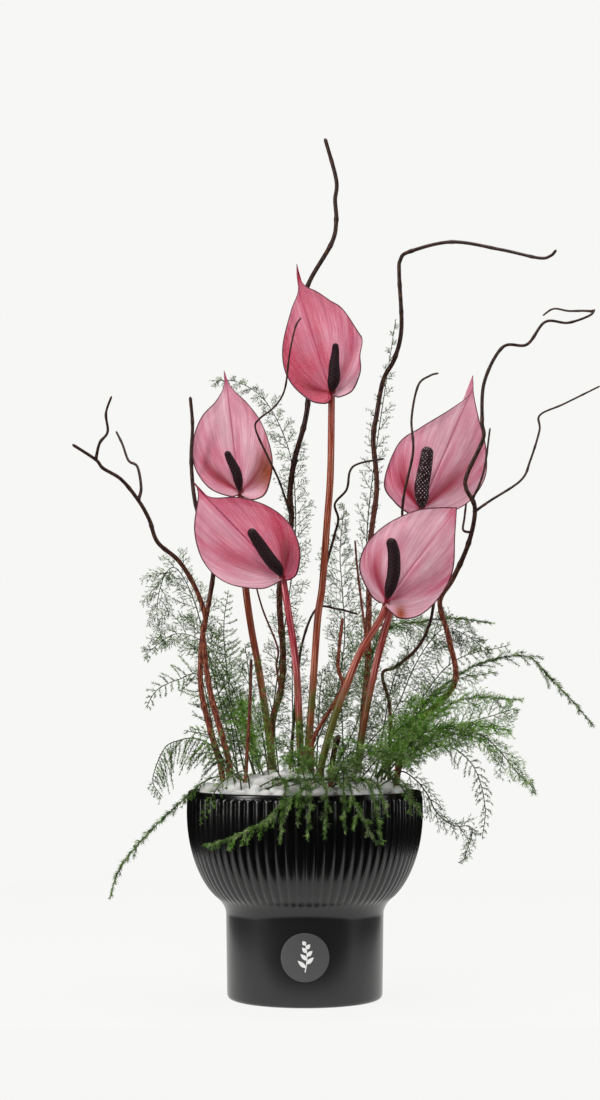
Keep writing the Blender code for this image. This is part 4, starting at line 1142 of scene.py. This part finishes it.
def turn_matrices(chance, count, tilt):
    """Rotations: any heading about Z, after a tilt of at most the given angle."""
    heading = chance.uniform(0, TAU, count)
    lean = chance.uniform(-tilt, tilt, count)
    c, s, cl, sl = np.cos(heading), np.sin(heading), np.cos(lean), np.sin(lean)
    flat = np.zeros(count)
    return np.stack((np.stack((c, -s * cl, s * sl), -1), np.stack((s, c * cl, -c * sl), -1),
                     np.stack((flat, sl, cl), -1)), axis=-2)


def make_pebbles(size, count, paint):
    """Tumbled pebbles spread over the mound in a sunflower spiral, in two layers.

    Each is an ellipsoid whose radius swells and dips by low waves round it.
    """
    chance = np.random.default_rng(11)
    number = np.arange(count)
    lower = number % 3 == 2
    reach = np.sqrt((number + 0.5) / count) * (BED_RADIUS - 0.5 * size)
    angle = number * math.pi * (3 - math.sqrt(5)) + chance.uniform(-0.1, 0.1, count)
    sizes = chance.uniform(0.78, 1.12, (count, 3)) * size * np.array((0.60, 0.48, 0.36))
    top = mound_height(reach) + chance.uniform(-0.002, 0.003, count)
    centre = np.stack((reach * np.cos(angle), reach * np.sin(angle),
                       top - sizes[:, 2] * 0.8 - 0.007 * lower), axis=-1)
    lift = arc(5, -62, 62)
    turn = np.arange(10) / 10 * TAU
    level = np.cos(lift)[:, None]
    shape = np.stack((level * np.cos(turn), level * np.sin(turn),
                      np.broadcast_to(np.sin(lift)[:, None], (5, 10))), axis=-1)
    phase = chance.uniform(0, TAU, (count, 2))[:, :, None, None]
    swell = 1 + 0.07 * np.sin(2 * turn + phase[:, 0]) + 0.05 * np.sin(3 * turn + phase[:, 1])
    body = shape * sizes[:, None, None, :] * swell[..., None]
    grids = np.einsum("nij,nrsj->nrsi", turn_matrices(chance, count, 0.45), body)
    grids += centre[:, None, None, :]
    over = np.hypot(grids[..., 0], grids[..., 1]) / (BED_RADIUS - 0.0003)
    grids[..., :2] /= np.maximum(over, 1.0)[..., None]
    grids[..., 2] = np.maximum(grids[..., 2], FOAM_TOP + 0.001)
    bundle = Bundle()
    add_closed(bundle, grids, tone=(chance.uniform(0, 1, count) ** 2)[:, None, None])
    own(bundle.build("pebbles", paint), "white_stone", "pebble_bed")


def paint_foam(paint):
    """Give the CAD foam block its material."""
    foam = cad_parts["floral_foam"]
    for slot in foam.material_slots:
        slot.material = paint


# --- Flowers --------------------------------------------------------------------------
def make_stem(name, flower, paint):
    """A smooth stem that flares a little where it meets the blade."""
    knots = flower["stem"] + [flower["junction"]]
    route, length = branch_route(knots, STEM_END, 0.002)
    share = along(route)
    radii = STEM_BASE + (STEM_TOP - STEM_BASE) * share
    radii = radii * (1 + 0.03 * wobble(len(route), sum(map(ord, name)), (3, 7, 11)))
    radii += 0.0008 * smooth_step(share, 0.97, 1.0)
    bundle = Bundle()
    add_closed(bundle, ring_grid(route, radii, 24)[None], length / TEXTURE_LENGTH,
               flush=FLUSH[name].stem + 0.25 * smooth_step(share, 0.8, 1.0)[:, None],
               foot=1.1 - smooth_step(route[:, 2], 0.2, 0.34)[:, None])
    own(bundle.build("stem_" + name + "_skin", paint), "red_stem", "stem_" + name)


def make_spadix(name, flower, paint):
    """A tapering spike beaded with florets: radius + height * cos(n * turn) * cos(m * row)."""
    knots = [flower["junction"]] + flower["spadix"]
    girths = [1.6] + list(flower["spadix_radii"])
    route, radii = smooth_route(knots, 150, girths)
    smooth = np.convolve(np.pad(radii, 9, mode="edge"), np.ones(19) / 19, "valid") * MM
    radii = dome_ends(route, smooth, start=False)
    length = np.linalg.norm(np.diff(route, axis=0), axis=1).sum()
    turn = np.arange(112) / 112 * TAU
    florets = 2 * round(math.pi * smooth.max() / FLORET_PITCH)
    rows = TAU * length / (2 * FLORET_PITCH) * along(route)
    bead = (np.cos(florets / 2 * turn)[None, :] * np.cos(rows)[:, None])
    bead = 0.5 + 0.5 * np.clip(1.25 * bead, -1, 1)
    fade = smooth_step(along(route), 0.08, 0.16)
    grid = ring_grid(route, radii, 112, FLORET_HEIGHT * (bead - 0.5) * fade[:, None])
    bundle = Bundle()
    neck = 1 - smooth_step(along(route), 0.05, 0.15)
    add_closed(bundle, grid[None], bead=bead * fade[:, None] * FLUSH[name].florets,
               neck=neck[:, None])
    own(bundle.build("spadix_" + name + "_beaded", paint), "dark_spadix",
        "spadix_" + name)


def blade_margin(flower):
    """The blade's outline as (right, up) in metres, from notch to tip to notch."""
    right = smooth_route(flower["right"], SIDE_COLUMNS)[::-1]
    left = smooth_route(flower["left"], SIDE_COLUMNS)[1:]
    return np.concatenate((right, left))


def make_blade(name, flower, thickness, paint):
    """A heart-shaped blade on a polar grid: place = margin * v, for v from 0 to 1.

    Its depth behind the junction is lean * along + arch * across ** 2, less the forward
    curl of the lobes; a valley beside each lobe, a groove along the midrib, fine ribs and
    a gentle wave in the margin are added to that.  A valley, swell, fold or groove is a
    bell curve exp(-(gap / width) ** 2) of the gap from its middle.
    """
    rim = blade_margin(flower)
    v = 1 - (1 - np.linspace(0, 1, BLADE_ROWS)[1:, None]) ** 1.5
    flat = rim[None] * v[..., None]
    axis = np.array(flower["axis"], float)
    axis /= np.linalg.norm(axis)
    ahead = flat @ axis
    across = flat[..., 0] * axis[1] - flat[..., 1] * axis[0]
    reach = np.hypot(ahead, across)
    signed = np.degrees(np.arctan2(across, ahead))
    turn = np.abs(signed)
    arch = BLADE_ARCH * across ** 2 * smooth_step(ahead, 0.0, 0.03)
    depth = BLADE_LEAN * ahead + arch - LOBE_CURL * reach * smooth_step(turn, 80, 130)
    tone = FLUSH[name]
    beside = turn - np.where(signed < 0, tone.left, tone.right)
    valley = np.exp(-(beside / VALLEY_WIDTH) ** 2)
    swell = np.exp(-((beside + SWELL_ANGLE) / SWELL_WIDTH) ** 2)
    relax = 1 - 0.65 * v ** 2
    depth += reach * relax * (VALLEY_DEPTH * valley - SWELL_HEIGHT * swell)
    groove = np.exp(-(across / GROOVE_WIDTH) ** 2) * smooth_step(ahead, 0.0, 0.01) * (1 - v)
    depth += GROOVE_DEPTH * groove
    vein_angle = signed / (1 - 0.45 * v ** 1.5)
    ribs = np.cos(np.radians(vein_angle) * RIBS_PER_TURN)
    depth -= RIB_HEIGHT * ribs * v * (1 - v ** 4) * (turn < 150)
    margin_wave = wobble(rim.shape[0], sum(map(ord, name)), (2, 4, 7))
    depth += MARGIN_WAVE * margin_wave * v ** 5
    depth -= MARGIN_TURN * smooth_step(v, 0.9, 1.0)
    junction = np.array(flower["junction"]) * MM
    points = np.stack((flat[..., 0], depth, flat[..., 1]), axis=-1) + junction
    flush = tone.base + tone.side * np.clip(signed / 50, -1, 1)
    # More crimson along each crease: painted shade in its valley.
    flush += tone.crease * np.exp(-(beside / 15) ** 2) * (1 - 0.5 * v)
    flush += 0.30 * np.exp(-v / 0.22) - tone.lobe * smooth_step(beside, 14, 40)
    flush += 0.6 * smooth_step(ahead / ahead.max(), 0.80, 0.97)
    # The fold is painted shade in each crease beside the spike, fading out before the margin.
    fold = np.where(signed < 0, tone.left_fold, tone.right_fold)
    fold = fold * np.exp(-(beside / FOLD_SHADE_WIDTH) ** 2)
    fold *= smooth_step(v, 0.02, 0.12) * (1 - smooth_step(v, 0.38, 1.0))
    gone = (1 - v) * np.linalg.norm(rim, axis=1)[None]
    edge = 1 - smooth_step(gone, *DARK_MARGIN)
    main = np.exp(-(across / MIDRIB_WIDTH) ** 2) * (ahead > 0) * smooth_step(v, 0.03, 0.2)
    stain = np.zeros_like(reach)
    for owner, spot_right, spot_up, size in STAINS:
        if owner == name:
            gap = np.hypot(flat[..., 0] - spot_right * MM, 0.6 * (flat[..., 1] - spot_up * MM))
            stain = np.maximum(stain, np.exp(-(gap / (size * MM)) ** 2))
    rows, columns = reach.shape
    quads, uvs = grid_faces(rows, columns, False)
    u = 0.5 + vein_angle / 360
    corners = quads.ravel()
    uvs = np.stack((u.ravel()[corners], np.broadcast_to(v, u.shape).ravel()[corners]), axis=-1)
    step = np.arange(columns - 1)
    centre = np.full(columns - 1, rows * columns)
    fan = np.stack((centre, step, step + 1), axis=-1)
    fan_uvs = np.stack((u[0][fan[:, [1, 1, 2]]], np.zeros(fan.shape)), axis=-1)
    bundle = Bundle()
    values = {"flush": flush, "fold": fold, "rim": edge, "vein": main, "stain": stain}
    values = {key: np.append(np.broadcast_to(value, reach.shape).ravel(), 0.5)
              for key, value in values.items()}
    bundle.add(np.concatenate((points.reshape(-1, 3), junction[None])), quads[:, ::-1],
               fan[:, ::-1], uvs.reshape(-1, 4, 2)[:, ::-1], fan_uvs[:, ::-1], **values)
    piece = bundle.build("spathe_" + name + "_blade", paint)
    shell = piece.modifiers.new("thickness", 'SOLIDIFY')
    shell.thickness = thickness
    shell.offset = 0.0
    own(piece, "pink_spathe", "spathe_" + name)


# --- Willow ---------------------------------------------------------------------------
def knotty(route, radii, seed, spacing):
    """Swell a twig at its nodes: each adds a narrow bump to the radius."""
    chance = np.random.default_rng(seed)
    length = along(route) * np.linalg.norm(np.diff(route, axis=0), axis=1).sum()
    nodes = np.arange(spacing / 2, length[-1], spacing)
    nodes = nodes + chance.uniform(-0.3, 0.3, len(nodes)) * spacing
    near = np.exp(-((length[:, None] - nodes) / 0.0022) ** 2)
    height = chance.uniform(0.08, 0.24, len(nodes))
    uneven = 0.04 * wobble(len(route), seed, (5, 9, 17))
    return radii * (1 + (near * height).sum(axis=1) + uneven)


def make_willow(name, trunk, girth, twigs, paint):
    """One curly branch: tapering tubes, swollen at the nodes, with its twigs let in.

    A trunk's radius runs evenly from foot to tip.  A twig's does too, and it flares by
    half where it leaves the trunk.
    """
    seed = sum(map(ord, name))
    foot, tip, thin = girth
    route, length = branch_route(trunk, STEM_END, 0.0016)
    radii = knotty(route, (foot + (tip - foot) * along(route)) * MM, seed, TRUNK_NODES)
    tubes = [(route, radii, 16, length / TEXTURE_LENGTH)]
    for number, twig in enumerate(twigs):
        steps = np.diff(np.array(twig, float), axis=0)
        route = smooth_route(twig, int(np.linalg.norm(steps, axis=1).sum() / TWIG_STEP))
        share = along(route)
        radii = thin * MM * (1 - (1 - TWIG_SHARE) * share)
        radii = knotty(route, radii, seed + number + 1, TWIG_NODES)
        tubes.append((route, radii * (1 + 0.5 * np.exp(-share / 0.03)), 12, 1.0))
    bundle = Bundle()
    low, high = REDNESS[name]
    for route, radii, sides, stretch in tubes:
        height = smooth_step(route[:, 2], low * MM, high * MM)
        grid = ring_grid(route, dome_ends(route, radii, start=False), sides)
        add_closed(bundle, grid[None], stretch, redness=(1 - height)[:, None])
    own(bundle.build("willow_" + name + "_branch", paint), "willow_bark",
        "willow_" + name)


# --- Ferns ----------------------------------------------------------------------------
def unit(vectors):
    """Vectors scaled to length 1."""
    return vectors / np.linalg.norm(vectors, axis=-1, keepdims=True)


def at_shares(route, shares):
    """Places and headings at shares of a route's length."""
    place = along(route)
    heading = unit(np.gradient(route, axis=0))
    spots = np.stack([np.interp(shares, place, route[:, axis]) for axis in range(3)], -1)
    ways = np.stack([np.interp(shares, place, heading[:, axis]) for axis in range(3)], -1)
    return spots, unit(ways)


def shoots(roots, ways, angles, sides, reach, droop, steps, chance):
    """Curved shoots: each starts at a root, turned off its heading by an angle.

    Its route is root + way * s * reach, less droop * s ** 2 * reach, for s from 0 to 1.
    """
    across = unit(np.cross(ways, VIEW + chance.normal(0, 0.35, ways.shape)))
    turn = angles[:, None]
    start = unit(ways * np.cos(turn) + across * np.sin(turn) * sides[:, None]
                 + chance.normal(0, 0.10, ways.shape))
    s = np.linspace(0, 1, steps)[None, :, None]
    far = reach[:, None, None]
    bend = 0.18 * (ways - start)[:, None] * s ** 2 * far
    return roots[:, None] + start[:, None] * s * far + bend - UP * droop * s ** 2 * far


def reined(points):
    """Points drawn in where they pass FERN_DEPTH, in front of the vase's axis and behind."""
    front, back = FERN_DEPTH
    over = np.minimum(points[..., 1] + front, 0) + np.maximum(points[..., 1] - back, 0)
    points[..., 1] -= over * 0.85
    return points


def add_needles(bundle, roots, ways, sizes, width, **values):
    """Add needles: slim three-sided spindles, widest two fifths of the way along."""
    count = len(roots)
    side = unit(np.cross(ways, np.array((0.31, 0.52, 0.79))))
    other = np.cross(ways, side)
    turn = np.arange(3) / 3 * TAU
    spoke = (side[:, None] * np.cos(turn)[None, :, None]
             + other[:, None] * np.sin(turn)[None, :, None]) * width / 2
    middle = (roots + ways * sizes[:, None] * 0.4)[:, None] + spoke
    tips = (roots + ways * sizes[:, None])[:, None]
    points = np.concatenate((roots[:, None], middle, tips), axis=1).reshape(-1, 3)
    faces = np.array(((0, 2, 1), (0, 3, 2), (0, 1, 3), (4, 1, 2), (4, 2, 3), (4, 3, 1)))
    triangles = (faces + 5 * np.arange(count)[:, None, None]).reshape(-1, 3)
    corner = np.where(faces == 0, 0.0, np.where(faces == 4, 1.0, 0.4))
    uvs = np.broadcast_to(np.stack((faces / 4, corner), axis=-1), (count, 6, 3, 2))
    per_point = {name: np.repeat(np.broadcast_to(value, (count,)), 5)
                 for name, value in values.items()}
    bundle.add(points, np.zeros((0, 4), int), triangles, np.zeros((0, 4, 2)),
               uvs.reshape(-1, 3, 2), **per_point)


def tufts(bundle, routes, spacing, size, chance, tones):
    """Needles all along a set of routes, turned every way round them."""
    lengths = np.linalg.norm(np.diff(routes, axis=1), axis=2).sum(axis=1)
    counts = np.maximum((lengths / spacing).astype(int), 2)
    which = np.repeat(np.arange(len(routes)), counts)
    share = chance.uniform(0.04, 1.0, len(which)) * (routes.shape[1] - 1)
    low = np.minimum(share.astype(int), routes.shape[1] - 2)
    left = (share - low)[:, None]
    before, after = routes[which, low], routes[which, low + 1]
    roots = before + (after - before) * left
    heading = unit(after - before)
    spin = unit(np.cross(heading, chance.normal(0, 1, heading.shape)))
    lean = np.radians(chance.uniform(22, 56, len(which)))[:, None]
    ways = heading * np.cos(lean) + spin * np.sin(lean)
    ends = 1 - 0.45 * (share / (routes.shape[1] - 1)) ** 3
    sizes = size * chance.uniform(0.6, 1.2, len(which)) * ends
    bright = np.clip(tones[which] + chance.normal(0, 0.24, len(which)), 0, 1)
    add_needles(bundle, roots, ways, sizes, NEEDLE_WIDTH, bright=bright, woody=0.0)


def grow_frond(bundle, name, route, length, droop, sides, bright, habit, needle, dense):
    """Add one frond: a wiry spine, side sprays, twiglets off those, and needles on all."""
    grows = HABITS[habit]
    chance = np.random.default_rng(sum(map(ord, name)) * 7 + len(route))
    whole = np.linalg.norm(np.diff(route, axis=0), axis=1).sum()
    share = along(route)
    needle = needle * grows.scale
    radii = dome_ends(route, SPINE_RADIUS * (1 - 0.6 * share), start=False)
    add_closed(bundle, ring_grid(route, radii, 6)[None], whole / TEXTURE_LENGTH,
               bright=bright * 0.5, woody=0.75)
    count = max(4, int(whole / grows.pitch * DENSITY.get(name, 1.0)))
    shares = FIRST_SPRAY + (0.99 - FIRST_SPRAY) * (np.arange(count) + 0.5) / count
    roots, ways = at_shares(route, shares)
    turns = np.where(np.arange(count) % 2, 1.0, -1.0)
    if sides == "low":
        across = np.cross(ways, VIEW)[:, 2]
        turns = np.where(across > 0, -1.0, 1.0)
    reach = length * MM * (0.55 + 0.45 * np.sin(math.pi * shares))
    reach = reach * chance.uniform(0.6, 1.2, count)
    reach *= 1 - 0.65 * smooth_step(shares, 0.75, 1.0)
    angles = np.radians(chance.uniform(grows.least_tilt, grows.most_tilt, count))
    sprays = reined(shoots(roots, ways, angles, turns, reach, droop, 7, chance))
    tones = np.clip(bright + chance.normal(0, 0.22, count), 0, 1)
    thin = np.linspace(1, 0.4, 7)[None] * SPRAY_RADIUS * np.ones((count, 1))
    add_closed(bundle, ring_grid(sprays, thin, 4), bright=tones[:, None, None], woody=0.45)
    tufts(bundle, sprays, grows.gap / dense, needle, chance, tones)
    tufts(bundle, route[None, share > FIRST_SPRAY * 1.4], grows.spine_gap / dense, needle,
          chance, np.array((bright,)))
    if grows.branched:
        per = max(2, int(length * MM / TWIGLET_PITCH))
        place = (np.arange(per) + 0.7) / (per + 0.4)
        low = np.minimum((place * 6).astype(int), 5)
        left = (place * 6 - low)[None, :, None]
        spots = sprays[:, low] * (1 - left) + sprays[:, low + 1] * left
        heads = unit(sprays[:, low + 1] - sprays[:, low])
        sizes = 0.40 * reach[:, None] * (1 - 0.7 * place)[None] + 0.002
        sizes = sizes * chance.uniform(0.7, 1.2, sizes.shape)
        flips = np.where((np.arange(per)[None] + np.arange(count)[:, None]) % 2, 1.0, -1.0)
        total = count * per
        small = reined(shoots(spots.reshape(total, 3), heads.reshape(total, 3),
                              np.radians(chance.uniform(34, 60, total)), flips.ravel(),
                              sizes.ravel(), droop * 0.3, 4, chance))
        thin = np.linspace(1, 0.5, 4)[None] * TWIGLET_RADIUS * np.ones((total, 1))
        tones = np.repeat(tones, per)
        add_closed(bundle, ring_grid(small, thin, 3), bright=tones[:, None, None], woody=0.25)
        tufts(bundle, small, grows.gap / dense, needle, chance, tones)


def make_fern(name, spec, needle, dense, paint):
    """One frond that stands for its CAD node."""
    spine, length, droop, sides, bright, habit = spec
    bundle = Bundle()
    route = branch_route(spine, FERN_END, 0.002)[0]
    grow_frond(bundle, name, route, length, droop, sides, bright, habit, needle, dense)
    own(bundle.build("fern_" + name + "_frond", paint), "fern_green", "fern_" + name)


def make_low_growth(place, fronds, needle, dense, paint):
    """Short fronds in one place: each rises from the pebbles and bows to its tip.

    Those that hang outside the rim pass above it first.
    """
    bundle = Bundle()
    for number, (foot, tip, length, bright, habit) in enumerate(fronds):
        top = mound_height(math.hypot(*foot) * MM) / MM
        first = np.array((*foot, top - 4.0))
        last = np.array(tip, float)
        middle = (first + last) / 2 + np.array((0, 0, LOW_BOW * np.linalg.norm(last - first)))
        if place == "over_rim":
            middle = np.array((*last[:2] * RIM_CREST[0] / math.hypot(*last[:2]), RIM_CREST[1]))
        route = smooth_route((first, middle, last), 50)
        grow_frond(bundle, "low_%s_%d" % (place, number), route, length, 0.2, "both", bright,
                   habit, needle, dense)
    own(bundle.build("fern_low_" + place, paint), "fern_green")


# --- The stage ------------------------------------------------------------------------
def make_floor(width, front, back, paint):
    """A pale table top: a flat grid of points from its front edge to its back edge."""
    across, away = np.meshgrid(np.linspace(-0.5, 0.5, 13) * width,
                               np.linspace(-front, back, 13), indexing="ij")
    points = np.stack((across, away, np.zeros_like(across)), axis=-1).reshape(-1, 3)
    quads, uvs = grid_faces(13, 13, False)
    bundle = Bundle()
    bundle.add(points, quads, np.zeros((0, 3), int), uvs, np.zeros((0, 3, 2)))
    floor = bundle.build("floor", paint)
    floor.location.z = -FLOOR_GAP


def add_light(name, place, target, size, power, colour):
    """A soft rectangular light aimed at a point."""
    lamp = bpy.data.lights.new(name, 'AREA')
    lamp.shape = 'RECTANGLE'
    lamp.size, lamp.size_y = size
    lamp.energy = power
    lamp.color = linear(colour)[:3]
    item = bpy.data.objects.new(name, lamp)
    item.location = place
    heading = Vector(target) - Vector(place)
    item.rotation_euler = heading.to_track_quat('-Z', 'Y').to_euler()
    bpy.context.scene.collection.objects.link(item)


def make_world(backdrop):
    """A pale backdrop to the eye, a dimmer room to the diffuse light and to the gloss."""
    world = bpy.data.worlds.new("studio")
    world.use_nodes = True
    tree = world.node_tree
    tree.nodes.clear()
    gloss = add(tree, "ShaderNodeLightPath", out="Is Glossy Ray")
    eye = add(tree, "ShaderNodeLightPath", out="Is Camera Ray")
    room = add(tree, "ShaderNodeMix", {"Factor": gloss, A: "#A8A8A8", B: "#0C0C0C"}, MIXED,
               data_type='RGBA')
    seen = add(tree, "ShaderNodeMix", {"Factor": eye, A: room, B: backdrop}, MIXED,
               data_type='RGBA')
    sky = add(tree, "ShaderNodeBackground", {"Color": seen})
    add(tree, "ShaderNodeOutputWorld", {"Surface": sky})
    bpy.context.scene.world = world


def make_camera(distance, height, lens):
    """The camera in front of the arrangement, pitched up a little."""
    data = bpy.data.cameras.new("camera")
    data.lens = lens
    data.sensor_width = 36.0
    camera = bpy.data.objects.new("camera", data)
    camera.location = (CAMERA_SIDE, -distance, height)
    camera.rotation_euler = (math.radians(90 + CAMERA_PITCH), 0, 0)
    bpy.context.scene.collection.objects.link(camera)
    bpy.context.scene.camera = camera


# --- Settings, operators and panel ----------------------------------------------------
def tint(name, text, code):
    """A colour property with a hex default."""
    return bpy.props.FloatVectorProperty(name=name, description=text, subtype='COLOR', size=3,
                                         min=0.0, max=1.0, default=linear(code)[:3])


def metres(name, text, default, least=0.0):
    """A length property, in metres."""
    return bpy.props.FloatProperty(name=name, description=text, default=default, min=least,
                                   unit='LENGTH', precision=4)


class VaseSettings(bpy.types.PropertyGroup):
    """Sizes and colours of the vase, its label and the stones in it."""

    reeds: bpy.props.IntProperty(
        name="Reeds", description="Convex reeds round the bowl", default=72, min=12, max=120)
    reed_depth: metres("Reed depth", "How deep the grooves between reeds are", 0.0017)
    pebble_size: metres("Pebble size", "Usual length of a pebble", 0.0165, 0.004)
    pebble_count: bpy.props.IntProperty(
        name="Pebbles", description="Number of pebbles", default=300, min=20, max=900)
    glaze: tint("Glaze", "Glaze on the bowl", "#0B0B0C")
    foot_glaze: tint("Foot glaze", "Satin glaze on the plain foot", "#1E1E1F")
    label: tint("Label", "Film of the round label", "#525254")
    mark: tint("Mark", "Ink of the sprig on the label", "#F6F6F5")
    pebbles: tint("Pebble colour", "Palest colour of the pebbles", "#EFEFED")
    foam: tint("Foam", "Floral foam under the pebbles", "#4B6E46")


class PlantSettings(bpy.types.PropertyGroup):
    """Sizes and colours of the flowers, the willow and the fern."""

    blade_thickness: metres("Blade thickness", "Thickness of a blade", 0.0008, 0.0002)
    needle_length: metres("Needle length", "Usual length of a fern needle", 0.0029, 0.001)
    needle_density: bpy.props.FloatProperty(
        name="Needle density", description="Needles per length, beside the usual",
        default=1.0, min=0.1, max=3.0)
    blade_pale: tint("Pale blade", "Palest skin of the blades", "#DA9DAE")
    blade_rose: tint("Rose blade", "Middle colour of the blades", "#CA5C7A")
    blade_crimson: tint("Crimson blade", "Deepest flush of the blades", "#B81246")
    spadix: tint("Spike", "Florets on the spikes", "#2E0A17")
    stem_brown: tint("Stem brown", "Brown side of the flowers' stems", "#94401F")
    stem_red: tint("Stem red", "Red side of the flowers' stems", "#AA2A3E")
    bark_dark: tint("Old bark", "Bark of the old willow", "#220E08")
    bark_red: tint("Fresh bark", "Bark of the fresh willow", "#6C2412")
    fern_dark: tint("Dark fern", "Needles in the shade", "#506238")
    fern_fresh: tint("Fresh fern", "New needles", "#6CA822")


class StageSettings(bpy.types.PropertyGroup):
    """The floor, the lights and the camera."""

    floor_width: metres("Floor width", "Width of the pale table top", 0.8, 0.3)
    floor_front: metres("Floor front", "From the vase's axis to the front edge", 0.165, 0.1)
    floor_back: metres("Floor back", "From the vase's axis to the back edge", 1.2, 0.1)
    lens: bpy.props.FloatProperty(
        name="Lens", description="Focal length on a 36 mm sensor", default=68.7, min=10.0,
        unit='CAMERA')
    camera_distance: metres("Camera distance", "From the vase's axis", 1.80, 0.5)
    camera_height: metres("Camera height", "Above the floor", 0.250)
    backdrop: tint("Backdrop", "Backdrop and table top", "#F7F7F5")
    light: bpy.props.FloatProperty(
        name="Light", description="Strength of all the studio lights", default=1.0, min=0.0)


class ARRANGEMENT_OT_vase(bpy.types.Operator):
    """Build the reeded vase with its label"""

    bl_idname = "arrangement.vase"
    bl_label = "Vase"

    def execute(self, context):
        settings = context.scene.arrangement_vase
        make_vase(settings.reeds, settings.reed_depth, satin_glaze(settings))
        return {'FINISHED'}


class ARRANGEMENT_OT_label(bpy.types.Operator):
    """Build the round label on the foot and its printed mark"""

    bl_idname = "arrangement.label"
    bl_label = "Label"

    def execute(self, context):
        settings = context.scene.arrangement_vase
        make_label(label_film(settings))
        make_label_print(white_ink(settings))
        return {'FINISHED'}


class ARRANGEMENT_OT_filling(bpy.types.Operator):
    """Build the pebbles and finish the foam under them"""

    bl_idname = "arrangement.filling"
    bl_label = "Pebbles and foam"

    def execute(self, context):
        settings = context.scene.arrangement_vase
        make_pebbles(settings.pebble_size, settings.pebble_count, tumbled_marble(settings))
        paint_foam(floral_foam(settings))
        return {'FINISHED'}


class ARRANGEMENT_OT_flowers(bpy.types.Operator):
    """Build the five flowers: stems, spikes and blades"""

    bl_idname = "arrangement.flowers"
    bl_label = "Anthuriums"

    def execute(self, context):
        settings = context.scene.arrangement_plants
        skin, spike = flower_stem(settings), beaded_spadix(settings)
        wax = waxy_spathe(settings)
        for name, flower in FLOWERS.items():
            make_stem(name, flower, skin)
            make_spadix(name, flower, spike)
            make_blade(name, flower, settings.blade_thickness, wax)
        return {'FINISHED'}


class ARRANGEMENT_OT_willow(bpy.types.Operator):
    """Build the curly willow branches"""

    bl_idname = "arrangement.willow"
    bl_label = "Curly willow"

    def execute(self, context):
        bark = willow_bark(context.scene.arrangement_plants)
        for name, (trunk, girth, twigs) in WILLOW.items():
            make_willow(name, trunk, girth, twigs, bark)
        return {'FINISHED'}


class ARRANGEMENT_OT_ferns(bpy.types.Operator):
    """Build the asparagus fern fronds"""

    bl_idname = "arrangement.ferns"
    bl_label = "Asparagus fern"

    def execute(self, context):
        settings = context.scene.arrangement_plants
        foliage = fern_foliage(settings)
        for name, spec in FERNS.items():
            make_fern(name, spec, settings.needle_length, settings.needle_density, foliage)
        for place, fronds in LOW_GROWTH.items():
            make_low_growth(place, fronds, settings.needle_length, settings.needle_density,
                            foliage)
        return {'FINISHED'}


class ARRANGEMENT_OT_stage(bpy.types.Operator):
    """Set the floor, the backdrop, the lights and the camera"""

    bl_idname = "arrangement.stage"
    bl_label = "Stage"

    def execute(self, context):
        settings = context.scene.arrangement_stage
        context.scene.view_settings.view_transform = 'Standard'
        make_world(settings.backdrop)
        make_floor(settings.floor_width, settings.floor_front, settings.floor_back,
                   lit_acrylic(settings))
        for name, place, target, size, power, colour in LIGHTS:
            add_light(name, place, target, size, power * settings.light, colour)
        make_camera(settings.camera_distance, settings.camera_height, settings.lens)
        return {'FINISHED'}


class ARRANGEMENT_PT_panel(bpy.types.Panel):
    """Lists the settings and the steps of the arrangement"""

    bl_idname = "ARRANGEMENT_PT_panel"
    bl_label = "Anthurium arrangement"
    bl_space_type = 'VIEW_3D'
    bl_region_type = 'UI'
    bl_category = "Arrangement"

    def draw(self, context):
        for group in SETTINGS:
            settings = getattr(context.scene, group)
            for name in settings.__annotations__:
                self.layout.prop(settings, name)
        for step in STEPS:
            self.layout.operator(step.bl_idname)


SETTINGS = {
    "arrangement_vase": VaseSettings,
    "arrangement_plants": PlantSettings,
    "arrangement_stage": StageSettings,
}
STEPS = (ARRANGEMENT_OT_vase, ARRANGEMENT_OT_label, ARRANGEMENT_OT_filling,
         ARRANGEMENT_OT_flowers, ARRANGEMENT_OT_willow, ARRANGEMENT_OT_ferns,
         ARRANGEMENT_OT_stage)


def register():
    """Register the settings, the operators and the panel."""
    for group, settings in SETTINGS.items():
        bpy.utils.register_class(settings)
        setattr(bpy.types.Scene, group, bpy.props.PointerProperty(type=settings))
    for kind in (*STEPS, ARRANGEMENT_PT_panel):
        bpy.utils.register_class(kind)


def unregister():
    """Take them all out again."""
    for kind in reversed((*STEPS, ARRANGEMENT_PT_panel)):
        bpy.utils.unregister_class(kind)
    for group, settings in SETTINGS.items():
        delattr(bpy.types.Scene, group)
        bpy.utils.unregister_class(settings)


def main():
    """Build every piece in order."""
    register()
    bpy.ops.arrangement.vase()
    bpy.ops.arrangement.label()
    bpy.ops.arrangement.filling()
    bpy.ops.arrangement.flowers()
    bpy.ops.arrangement.willow()
    bpy.ops.arrangement.ferns()
    bpy.ops.arrangement.stage()
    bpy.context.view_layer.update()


if __name__ == "__main__":
    main()
